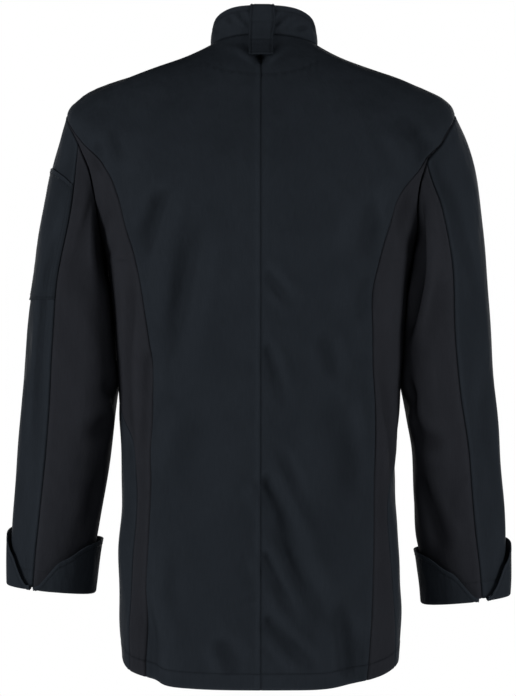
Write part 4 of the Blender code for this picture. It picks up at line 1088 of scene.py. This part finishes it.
width_shares = between([POCKET_SIDES[0]], [POCKET_SIDES[1]], stops(POCKET_SIZE[0]))[0]
mouth = np.interp(width_shares, [POCKET_SIDES[0], 1], POCKET_MOUTH)
runs = mouth[None, :] + (POCKET_FOOT - mouth[None, :]) * stops(POCKET_SIZE[1])[:, None]
points = on_panel("sleeve_left_upper", width_shares, runs, RUNS, POCKET_OFF)
reach = reaches(points)
hanging = np.sin(math.pi * np.clip(reach["left"] / reach["left"][:, -1:], 0, 1))
gape = POCKET_GAPE * bell(reach["low"], GAPE_DEEP) * hanging
points = points + normals(points, points - ARM_MIDDLE)[0] * gape[..., None]
cloth(
    "pen_pocket", points, points - ARM_MIDDLE,
    {"low": "edge", "left": "pressed", "right": "pressed", "top": "pressed"},
    main_cloth, thick=0.0009, loft=0.0003, seed=41, rests_on=["sleeve_left_upper_cloth"],
)

# %% [markdown]
# ## Collar and loop
# The stand collar is two layers of cloth with an interlining, sewn to the neckline all round and
# rounded at its front corners. A flat tab is folded over it at the centre back, sewn inside and
# free at its lower end.

# %% The stand collar
COLLAR_CLOTH = 0.0022
COLLAR_TOP = dict(left=0.0560, right=0.0645, back=0.0485, front=0.070, square=2.9, flat=0.0)
COLLAR_TOP_Z = dict(side_z=0.0210, back_z=0.0430, front_z=-0.0120)
COLLAR_CORNER, COLLAR_END, COLLAR_HEIGHT, COLLAR_BOW, NECK_RADIUS = 0.014, 0.0005, 0.040, 0.0015, 0.07
# How the collar starts inside the neckline, and rises from there.
COLLAR_TUCK, ALLOWANCE = 0.0030, (-0.10, -0.07, -0.045, -0.028, -0.012)
TUCK_BELOW, TUCK_SPAN = 0.0008, 0.0030
# Creases of the collar, with angles in degrees and shares of its height.
COLLAR_RADIUS = 0.055
COLLAR_DEGREE = math.radians(1) * COLLAR_RADIUS
COLLAR_CREASES = creases([
    (58, 0.95, 72, 0.3, 0, 3.4, 2.4, 2.6, 1, 0.3, 0.5),
    (46, 0.8, 56, 0.35, 0, 3, 2.5, 2, 1, 0.4, 0.6),
    (68, 0.6, 80, 0.1, 0, 2.4, 2.2, 1.4, 1, 0.4, 0.6),
    (102, 0.25, 124, 0.7, 0, 2.8, 3.4, 2.6, 1, 0.3, 0.6),
    (112, 0.55, 132, 0.9, 0, 2.6, 3, 1.8, 1, 0.4, 0.6),
    (132, 0.2, 150, 0.55, 0, 2.8, 3.4, 2.6, 1, 0.4, 0.5),
    (20, 0.7, 36, 0.2, 0, 3, 3, 1.8, 1, 0.4, 0.6),
    (152, 0.85, 166, 0.35, 0, 3, 3, 1.8, 1, 0.4, 0.6),
    (-30, 0.25, -46, 0.8, 0, 3, 3, 1.4, 1, 0.4, 0.6),
    (212, 0.75, 226, 0.2, 0, 3, 3, 1.4, 1, 0.4, 0.6),
], COLLAR_DEGREE, COLLAR_HEIGHT)
NECK_SPARE = 10  # degrees past the centre front at both ends
NECK_ANGLES = np.arange(-90.0 - NECK_SPARE, 271.0 + NECK_SPARE, 1.0)
level = np.full(len(NECK_ANGLES), NECK)
lifted = np.where(NECK_ANGLES < 0, lap_lift(NECK_ANGLES), 0)[:, None]
NECK_POINTS = body(NECK_ANGLES, level) + outward(body, NECK_ANGLES, level) * lifted
print(f"neckline: {lengths(NECK_POINTS[NECK_SPARE:-NECK_SPARE, None], 0)[-1, 0] * 1000:.0f} mm round")

COLLAR_STEPS = (0.02, 0.002)  # the steps that its slopes are read with


def collar(angle, share):
    base = read_at(NECK_ANGLES, NECK_POINTS, angle)
    top = ring_point(angle, **COLLAR_TOP, **COLLAR_TOP_Z)
    share = np.asarray(share)[..., None]
    across = np.stack([*cos_sin(angle), 0 * angle], axis=-1)
    tucked = COLLAR_TUCK * (1 - smooth((share * COLLAR_HEIGHT + TUCK_BELOW) / TUCK_SPAN))
    return base * (1 - share) + top * share + across * (COLLAR_BOW * 4 * share * (1 - share) - tucked)


def creased_collar(angle, share):
    depth = crease_depth(COLLAR_CREASES, angle * COLLAR_DEGREE, np.asarray(share) * COLLAR_HEIGHT)
    return collar(angle, share) - outward(collar, angle, share, *COLLAR_STEPS) * depth[..., None]


COLLAR_ROUND, COLLAR_SPACING = 0.385, (0.0029, 0.0024)
trim = math.degrees(COLLAR_END / NECK_RADIUS)
columns = -90 + trim + (360 - 2 * trim) * stops(COLLAR_ROUND, COLLAR_SPACING[0])
end_reach = np.radians(180 - np.abs(columns - 90)) * NECK_RADIUS
hollow = np.clip(1 - end_reach / COLLAR_CORNER, 0, 1)
heights = 1 - (1 - np.sqrt(1 - hollow**2)) * COLLAR_CORNER / COLLAR_HEIGHT
rows = np.concatenate([ALLOWANCE, stops(COLLAR_HEIGHT, COLLAR_SPACING[1])])[:, None]
points = creased_collar(np.repeat(columns[None, :], len(rows), axis=0), rows * np.where(rows < 0, 1, heights))
cloth(
    "collar", points, points * (1, 1, 0), {"low": "fold", "top": "edge", "left": "fold", "right": "fold"},
    main_cloth, thick=COLLAR_CLOTH, loft=0.0003, seed=50,
    rests_on=["back_left_cloth", "back_right_cloth", "front_left_cloth", "front_right_cloth"],
)

# %% The loop over the collar
LOOP_HALF, LOOP_CLOTH, LOOP_OFF, LOOP_STEP = 0.0138, 0.0011, 0.0004, 0.0016
LOOP_OVER, LOOP_INSIDE, LOOP_CREST = np.array([0.5, 0.75, 1.0]), np.array([1.0, 0.7, 0.35]), 0.75
LOOP_FOOT = np.array([(0.0035, 0.0036), (-0.0206, 0.0066)])  # levels on the back, and how far off it is
LOOP_LEAN = (-0.0003, -0.0019)  # how far its free end and its fold are off the centre back
LOOP_FOLDS, FOLD_DEEP, FOLD_SOFT = (0.026, 0.0495), 0.0006, 0.0014


def loop_path(x):
    """The section of the tab at a distance from its middle line, from its free end up and over."""
    angle = np.full(3, 90 - math.degrees((x + LOOP_LEAN[1]) / COLLAR_TOP["back"]))
    face, normal = collar(angle, LOOP_OVER), outward(collar, angle, LOOP_OVER, *COLLAR_STEPS)
    half = LOOP_OFF + LOOP_CLOTH / 2
    levels, off = LOOP_FOOT.T
    lower = 90 - np.degrees((x + LOOP_LEAN[0]) / curve(BODY, "back", levels))
    foot = smooth_body(lower, levels) + outward(smooth_body, lower, levels) * off[:, None]
    path = [*foot[::-1], *(face + normal * half)]
    rise = unit(face[-1] - face[-2]) * LOOP_CREST
    crest = face[-1] - normal[-1] * COLLAR_CLOTH / 2
    for cos, sin in map(cos_sin, (45, 90, 135)):
        path.append(crest + (COLLAR_CLOTH / 2 + half) * (normal[-1] * cos + rise * sin))
    inner = outward(collar, angle, LOOP_INSIDE, *COLLAR_STEPS) * (COLLAR_CLOTH + half)
    return np.array([*path, *(collar(angle, LOOP_INSIDE) - inner)])


def respaced(path, step):
    """The same path with points at even steps on a smooth curve."""
    along = lengths(path[:, None], 0)[:, 0]
    data = {"s": along, "x": path[:, 0], "y": path[:, 1], "z": path[:, 2]}
    at = along[-1] * stops(along[-1], step)
    return np.stack([curve(data, axis, at) for axis in "xyz"], axis=-1)


middles = LOOP_HALF * (1 - 2 * stops(2 * LOOP_HALF, LOOP_STEP))
strips = [respaced(loop_path(x), LOOP_STEP) for x in middles]
count = min(len(strip) for strip in strips)
points = np.stack([strip[:count] for strip in strips], axis=1)
out = np.cross(np.gradient(points, axis=1), np.gradient(points, axis=0))
folds = sum(FOLD_DEEP * bell(lengths(points, 0) - at, FOLD_SOFT) for at in LOOP_FOLDS)
cloth(
    "collar_loop", points, out * np.sign(out[5, 5, 1]),
    {"low": "pressed", "left": "pressed", "right": "pressed", "top": "fold"}, main_cloth, thick=LOOP_CLOTH,
    loft=0.0001, lift=LOOP_CLOTH / 2 - folds, seed=60, rests_on=["collar_cloth"],
)

# %% [markdown]
# ## Rows of stitches
# A machine stitch is a short thick thread that sinks at both ends, every 3 mm or so. Drawn by
# hand there would be thousands, so Geometry Nodes lay them: lines of points are made on the
# finished cloth, the tree turns them into curves, sets a point at every pitch and puts one small
# thread there, turned along the line. A second tree draws a thin tube for bar tacks, buttonholes and button
# thread.

# %% Two trees: stitches along a line, and thread laid as a tube
def geometry_tree(name, numbers):
    tree = bpy.data.node_groups.new(name, "GeometryNodeTree")
    tree.interface.new_socket("Lines", in_out="INPUT", socket_type="NodeSocketGeometry")
    for title, value in numbers.items():
        tree.interface.new_socket(title, in_out="INPUT", socket_type="NodeSocketFloat").default_value = value
    tree.interface.new_socket("Thread", in_out="INPUT", socket_type="NodeSocketMaterial")
    tree.interface.new_socket("Stitches", in_out="OUTPUT", socket_type="NodeSocketGeometry")
    given = tree.nodes.new("NodeGroupInput").outputs
    return tree, given, new_node(tree, "GeometryNodeMeshToCurve", {"Mesh": given["Lines"]}).outputs[0]


def finish_tree(tree, given, made):
    real = new_node(tree, "GeometryNodeRealizeInstances", {0: made}).outputs[0]
    even = new_node(tree, "GeometryNodeSetShadeSmooth", {0: real}).outputs[0]
    paint = {"Geometry": even, "Material": given["Thread"]}
    painted = new_node(tree, "GeometryNodeSetMaterial", paint).outputs[0]
    new_node(tree, "NodeGroupOutput", {0: painted})


THREAD = dict(Pitch=0.0031, Length=0.0026, Width=0.0006)
UNEVEN = {2: 0.44, 3: 0.54, "Seed": 7}  # the least and most of a stitch's length that shows, halved
stitch_tree, given, curves = geometry_tree("stitch_row", THREAD)
along = {"Curve": curves, "Length": given["Pitch"]}
spots = new_node(stitch_tree, "GeometryNodeCurveToPoints", along, mode="LENGTH").outputs
turn = new_node(stitch_tree, "FunctionNodeAlignRotationToVector", {"Vector": spots["Tangent"]}, axis="Z")
uneven = new_node(stitch_tree, "FunctionNodeRandomValue", data_type="FLOAT")
feed(uneven, UNEVEN)
half_width = maths(stitch_tree, "MULTIPLY", given["Width"], 0.5)
half_length = maths(stitch_tree, "MULTIPLY", given["Length"], uneven.outputs[1])
size = new_node(stitch_tree, "ShaderNodeCombineXYZ", {"X": half_width, "Y": half_width, "Z": half_length})
one = new_node(stitch_tree, "GeometryNodeMeshUVSphere", {"Segments": 6, "Rings": 4, "Radius": 1.0})
laid = {"Points": spots["Points"], "Instance": one.outputs["Mesh"], "Rotation": turn.outputs[0]}
laid["Scale"] = size.outputs[0]
laid = new_node(stitch_tree, "GeometryNodeInstanceOnPoints", laid)
finish_tree(stitch_tree, given, laid.outputs[0])

tube_tree, given, curves = geometry_tree("laid_thread", {"Width": THREAD["Width"]})
section = new_node(tube_tree, "GeometryNodeCurvePrimitiveCircle", {"Resolution": 5})
feed(section, {"Radius": maths(tube_tree, "MULTIPLY", given["Width"], 0.5)})
tube = {"Curve": curves, "Profile Curve": section.outputs[0], "Fill Caps": True}
tube = new_node(tube_tree, "GeometryNodeCurveToMesh", tube)
finish_tree(tube_tree, given, tube.outputs[0])
print(stitch_tree.name, "and", tube_tree.name, "are ready")


def evaluated(thing):
    """A plain mesh of an object, with its modifiers applied."""
    return bpy.data.meshes.new_from_object(thing.evaluated_get(bpy.context.evaluated_depsgraph_get()))


def sew(name, lines, tree, material, **numbers):
    """One plain mesh of thread along the given lines of points."""
    lines = [np.asarray(line) for line in lines]
    starts = np.cumsum([0] + [len(line) for line in lines])
    edges = [(a + k, a + k + 1) for a, line in zip(starts, lines) for k in range(len(line) - 1)]
    guide = link(name + "_guide", new_mesh(name, np.concatenate(lines).tolist(), edges, []))
    modifier = guide.modifiers.new("sew", "NODES")
    modifier.node_group = tree
    for item in tree.interface.items_tree:
        if item.in_out == "INPUT" and item.name in numbers:
            modifier[item.identifier] = numbers[item.name]
        elif item.name == "Thread":
            modifier[item.identifier] = material
    result = evaluated(guide)
    result.name = name
    bpy.data.objects.remove(guide, do_unlink=True)
    print(f"{name}: {len(lines)} lines, {len(result.polygons)} faces")
    return add_piece(name, result, None, material)


# %% Thread
thread, tree, shader, dye, place = dyed(
    "polyester_thread", (0.0112, 0.0135, 0.0168), roughness=0.6, specular=0.02
)
plies = new_node(tree, "ShaderNodeTexNoise", {"Vector": place, "Scale": 2200.0, "Detail": 1.0}).outputs["Fac"]
feed(dye, {"Slub": plies})
feed(shader, {"Normal": relief(tree, plies, strength=0.4, distance=0.0001).outputs[0]})
print("thread:", thread.name)


# %% Lines on the finished cloth
def beside(node, edge, inwards, start=0.0, end=1.0, lift=0.0001):
    """Points on a finished panel at a distance inside one of its edges."""
    panel = PANELS[node]
    grid, reach = panel["points"] + panel["normal"] * lift, panel[edge]
    if edge in ("low", "top"):
        grid, reach = grid.transpose(1, 0, 2), reach.T
    if reach[0, 0] > reach[0, -1]:
        grid, reach = grid[:, ::-1], reach[:, ::-1]
    chosen = range(int(start * (len(grid) - 1)), int(end * (len(grid) - 1)) + 1)
    return np.array([read_at(reach[i], grid[i], inwards) for i in chosen])


def on_cloth(nodes, places, facing, lift=0.0001):
    """Points and normals on finished panels at given x and z, behind (1) or in front (-1)."""
    points = np.concatenate([PANELS[node]["points"].reshape(-1, 3) for node in nodes])
    normal = np.concatenate([PANELS[node]["normal"].reshape(-1, 3) for node in nodes])
    keep = points[:, 1] * facing > 0
    points, normal = points[keep], normal[keep]
    found, leaning = [], []
    for x, z in places:
        i = int(np.argmin((points[:, 0] - x) ** 2 + (points[:, 2] - z) ** 2))
        p, n = points[i], normal[i]
        y = p[1] - (n[0] * (x - p[0]) + n[2] * (z - p[2])) / n[1]
        found.append(np.array([x, y, z]) + n * lift)
        leaning.append(n)
    return np.array(found), np.array(leaning)


# %% Topstitching
FACING_ROW, COLLAR_ROW, LOOP_ROW, POCKET_ROWS = (0.0006, 0.0675, 60), 0.0058, 0.0026, (0.0018, 0.0074)
COLLAR_PART, LONG_PART, MOUTH_PART = (0.2, 0.8), (0.02, 0.98), (0.03, 0.97)  # from where to where
BODY_NODES = [f"{part}_{word}" for part in ("back", "side", "front") for word in WORD.values()]
rows = [beside(node, "low", HEM_BAND) for node in BODY_NODES]
for side, word in WORD.items():
    across = np.linspace(*FACING_ROW) * side
    places = np.stack([across, curve(NECK_FACING, "z", across)], axis=1)
    rows.append(on_cloth(["back_" + word], places, 1)[0])
    rows.append(beside("front_" + word, "right", EDGE_BAND))
    rows.append(beside("cuff_" + word, "top", EDGE_BAND))
    rows += [beside(f"sleeve_{word}_{which}", "top", SLEEVE_HEM) for which in ("upper", "under")]
rows.append(beside("collar", "top", COLLAR_ROW))
rows += [beside("collar", edge, COLLAR_ROW, *COLLAR_PART) for edge in ("left", "right")]
rows += [beside("collar_loop", edge, LOOP_ROW, *LONG_PART) for edge in ("left", "right", "low")]
for edge in ("left", "right", "top"):
    rows += [beside("pen_pocket", edge, away, *LONG_PART) for away in POCKET_ROWS]
rows.append(beside("pen_pocket", "low", EDGE_BAND, *MOUTH_PART))
sew("topstitches", rows, stitch_tree, thread, **THREAD)

# %% [markdown]
# ## Buttons, buttonholes and tacks
# Each button is turned from resin: a raised rim, a shallow dish and four holes. One is made with
# a boolean cut and copied to its ten places, square to the cloth. The five on the edge of the
# upper front sit over buttonholes, drawn as close zigzag thread on the cloth with no slot cut.

# %% Bar tacks and buttonholes
BUTTON_NODES = [name for name in frame["nodes"] if name.startswith("button_")]
HOLE_REACH, HOLE_GAP, ZIGZAG_WIDE, ZIGZAG_PITCH = (-0.0050, 0.0190), 0.0005, 0.0015, 0.0007


def centre_of(node):
    low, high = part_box(node)
    return [(low[k] + high[k]) / 2 for k in range(3)]


def zigzag(start, end, near, far):
    """Places of a zigzag from start to end, between two heights beside the line."""
    start, end = np.array(start), np.array(end)
    run = end - start
    steps = max(4, int(np.linalg.norm(run) / ZIGZAG_PITCH))
    beside_it = np.array([-run[1], run[0]]) / np.linalg.norm(run)
    swing = np.where(np.arange(steps + 1) % 2, near, far)
    return start + run * np.linspace(0, 1, steps + 1)[:, None] + beside_it * swing[:, None]


BAR_HALF, HOLE_THREAD, TACK_RAILS, TACK_END, TACK_STEPS = 0.0006, 0.0005, (0.0012, 0.0032), 0.06, 15
HOLE_LIFT, TACK_LIFT = 0.0003, 0.0004
holes = []
for node in BUTTON_NODES:
    x, _, z = centre_of(node)
    if node.endswith("right"):
        ends = [(x + reach, z) for reach in HOLE_REACH]
        for sign in (1, -1):
            holes.append(zigzag(*ends, sign * HOLE_GAP, sign * (HOLE_GAP + ZIGZAG_WIDE)))
        for end, _ in ends:
            low, high = (end, z - HOLE_GAP - ZIGZAG_WIDE), (end, z + HOLE_GAP + ZIGZAG_WIDE)
            holes.append(zigzag(low, high, -BAR_HALF, BAR_HALF))
lines = [on_cloth(["front_left"], places, -1, HOLE_LIFT)[0] for places in holes]
sew("buttonholes", lines, tube_tree, thread, Width=HOLE_THREAD)

tacks = []
for edge in ("left", "right"):
    rails = [beside("pen_pocket", edge, away, 0.0, TACK_END, TACK_LIFT) for away in TACK_RAILS]
    keys = np.arange(len(rails[0]))
    places = enumerate(np.linspace(0, keys[-1], TACK_STEPS))
    tacks.append([read_at(keys, rails[i % 2], place) for i, place in places])
sew("pocket_tacks", tacks, tube_tree, thread, Width=THREAD["Width"])


# %% One button, cut with four holes
BUTTON_SECTION = [
    (0.0, 0.0), (0.0070, 0.0), (0.0086, 0.0005), (0.0094, 0.0014), (0.0095, 0.0024), (0.0092, 0.0034),
    (0.0085, 0.0041), (0.0077, 0.0041), (0.0071, 0.0034), (0.0064, 0.0030), (0.0045, 0.0027), (0.0, 0.0026),
]
EYE_AT, EYE_RADIUS = 0.0017, 0.0009


def turned_mesh(name, section, segments):
    """A section of radius and height turned round the z axis and closed at both poles."""
    turns = np.linspace(0, 2 * math.pi, segments, endpoint=False)
    round_it = [(r * math.cos(t), r * math.sin(t), h) for r, h in section[1:-1] for t in turns]
    points = [(0, 0, section[0][1]), *round_it, (0, 0, section[-1][1])]
    last, faces = len(points) - 1, []
    for k in range(segments):
        after = (k + 1) % segments
        faces.append((0, 1 + after, 1 + k))
        for row in range(len(section) - 3):
            a, b = 1 + row * segments, 1 + (row + 1) * segments
            faces.append((a + k, a + after, b + after, b + k))
        top = 1 + (len(section) - 3) * segments
        faces.append((top + k, top + after, last))
    return new_mesh(name, points, [], faces)


DRILL = [(0, -0.001), (EYE_RADIUS, -0.001), (EYE_RADIUS, 0.0022), (EYE_RADIUS + 0.0006, 0.0030), (0, 0.0030)]
RIM_AT, RIM_SOFT, RIM_FROM = 0.0084, 0.0010, 0.003
blank = link("button_blank", turned_mesh("button_blank", BUTTON_SECTION, segments=40))
cutters = []
for a, b in ((1, 1), (-1, 1), (-1, -1), (1, -1)):
    drill = turned_mesh("drill", DRILL, segments=14)
    drill.transform(Matrix.Translation((a * EYE_AT, b * EYE_AT, 0)))
    cutters.append(link("drill", drill))
    cut = blank.modifiers.new("drill", "BOOLEAN")
    cut.operation, cut.object, cut.solver = "DIFFERENCE", cutters[-1], "EXACT"
button_shape = evaluated(blank)
for thing in [blank, *cutters]:
    bpy.data.objects.remove(thing, do_unlink=True)
places = np.array([tuple(vertex.co) for vertex in button_shape.vertices])
rim_wear = bell(np.hypot(places[:, 0], places[:, 1]) - RIM_AT, RIM_SOFT) * (places[:, 2] > RIM_FROM)
keep_marks(button_shape, "face", places[:, :2], rim_wear)
button_shape.set_sharp_from_angle(angle=math.radians(50))
print("one button:", len(button_shape.polygons), "faces")


# %% Button resin
button_resin, tree, shader, dye, place = dyed(
    "black_resin", (0.012, 0.013, 0.015), roughness=0.34, specular=0.35
)
face = new_node(tree, "ShaderNodeUVMap", uv_map="face").outputs[0]
rings = {"Vector": face, "Scale": 900.0, "Distortion": 0.6, "Detail": 1.0}
lathe = new_node(tree, "ShaderNodeTexWave", rings, wave_type="RINGS", rings_direction="Z")
swirl = {"Vector": place, "Scale": 420.0, "Detail": 4.0, "Distortion": 1.2}
swirl = new_node(tree, "ShaderNodeTexNoise", swirl)
shade_and_wear = new_node(tree, "ShaderNodeAttribute", attribute_name="wear_and_shade")
feed(dye, {"Rub and shade": 1.2, "Wear and shade": shade_and_wear.outputs["Fac"], "Slub": swirl.outputs["Fac"]})
feed(shader, {"Normal": relief(tree, lathe.outputs["Fac"], strength=0.12, distance=0.00005).outputs[0]})
print("buttons:", button_resin.name)

# %% Ten buttons with their thread
SEAT, SEAT_AIR, TWIST, TWIST_BEAT, STRAND = (-0.006, 0, 0.006), 0.0004, 17, 2.3, 0.00025
THREAD_SPAN = [(-EYE_AT, 0.0016), (-EYE_AT, 0.0030), (0, 0.0034), (EYE_AT, 0.0030), (EYE_AT, 0.0016)]
button_thread = []
for number, node in enumerate(BUTTON_NODES):
    x, _, z = centre_of(node)
    seats, leaning = on_cloth(["front_left"], [(x + dx, z + dz) for dx in SEAT for dz in SEAT], -1)
    facing = unit(leaning.mean(axis=0))
    seat = on_cloth(["front_left"], [(x, z)], -1)[0][0]
    standing = max(((point - seat) * facing).sum() for point in seats)
    side_way = unit(np.cross((0.0, 0.0, 1.0), facing))
    cos, sin = cos_sin(TWIST * math.sin(TWIST_BEAT * number))
    u = side_way * cos + np.cross(facing, side_way) * sin
    v = np.cross(facing, u)
    origin = seat + facing * (standing + SEAT_AIR)
    mesh = button_shape.copy()
    mesh.transform(Matrix([*np.stack([u, v, facing, origin], axis=1).tolist(), (0, 0, 0, 1)]))
    add_piece(node + "_turned", mesh, node, button_resin)
    for across in (-EYE_AT - STRAND, -EYE_AT + STRAND, EYE_AT - STRAND, EYE_AT + STRAND):
        button_thread.append([origin + u * across + v * t + facing * h for t, h in THREAD_SPAN])
sew("button_thread", button_thread, tube_tree, thread, Width=HOLE_THREAD)

# %% [markdown]
# ## Stage, light and camera
# The jacket hangs in the air as if worn, over a plain pale floor, in a white room. Dark cloth sends
# back so little light that its folds show only where the light comes from the side, so two broad
# lamps stand to the left and right behind the wearer and a weak one stands square behind, with
# two more before the jacket for the front. The room itself adds very little.

# %% Floor and room
FLOOR_WIDE, FLOOR_Z, FLOOR_EDGES = 2.4, -1.1, 96
scene = bpy.context.scene
ring = np.linspace(0, 2 * math.pi, FLOOR_EDGES, endpoint=False)
ring = [(FLOOR_WIDE * math.cos(a), FLOOR_WIDE * math.sin(a), FLOOR_Z) for a in ring]
floor = link("floor", new_mesh("floor", ring, [], [list(range(FLOOR_EDGES))]))
pale = bpy.data.materials.new("pale_floor")
pale.use_nodes = True
feed(pale.node_tree.nodes["Principled BSDF"], {"Base Color": (0.8, 0.8, 0.8, 1), "Roughness": 0.9})
floor.data.materials.append(pale)

room = bpy.data.worlds.new("white_room")
scene.world = room
room.use_nodes = True
tree = room.node_tree
tree.nodes.clear()
seen = new_node(tree, "ShaderNodeBackground", {"Color": (1, 1, 1, 1), "Strength": 1.0})
lit = new_node(tree, "ShaderNodeBackground", {"Color": (0.97, 0.985, 1, 1), "Strength": 0.10})
rays = new_node(tree, "ShaderNodeLightPath").outputs["Is Camera Ray"]
pick = new_node(tree, "ShaderNodeMixShader", {0: rays, 1: lit.outputs[0], 2: seen.outputs[0]})
new_node(tree, "ShaderNodeOutputWorld", {"Surface": pick.outputs[0]})
print("room and floor are ready")


# %% Lamps and camera
def lamp(name, place, aim_z, size, watts):
    light = bpy.data.lights.new(name, "AREA")
    light.shape, light.energy = "RECTANGLE", watts
    light.size, light.size_y = size
    thing = link(name, light)
    thing.location = place
    thing.rotation_euler = (Vector((0, 0, aim_z)) - Vector(place)).to_track_quat("-Z", "Y").to_euler()


lamp("lamp_behind", (-0.2, 3.8, 1.5), -0.3, (1.6, 1.6), 36)
lamp("lamp_behind_left", (3.15, 1.9, -0.5), -0.4, (1.4, 1.8), 110)
lamp("lamp_behind_right", (-3.3, 1.65, -0.5), -0.4, (1.4, 1.8), 92)
lamp("lamp_before_left", (1.3, -3.2, -0.1), -0.4, (1.6, 2.0), 84)
lamp("lamp_before_right", (-1.3, -3.2, 0.1), -0.4, (1.6, 2.0), 112)
print("lamps:", len(bpy.data.lights))

FRAME_HEIGHT, DISTANCE = 0.828, 3.5
camera = link("camera", bpy.data.cameras.new("camera"))
camera.data.lens = camera.data.sensor_width * DISTANCE / FRAME_HEIGHT
camera.location = (0.003, DISTANCE, -0.359)
camera.rotation_euler = (math.pi / 2, 0, math.pi)
scene.camera = camera
scene.view_settings.view_transform = "Standard"
print("the camera stands", DISTANCE, "m behind the jacket")
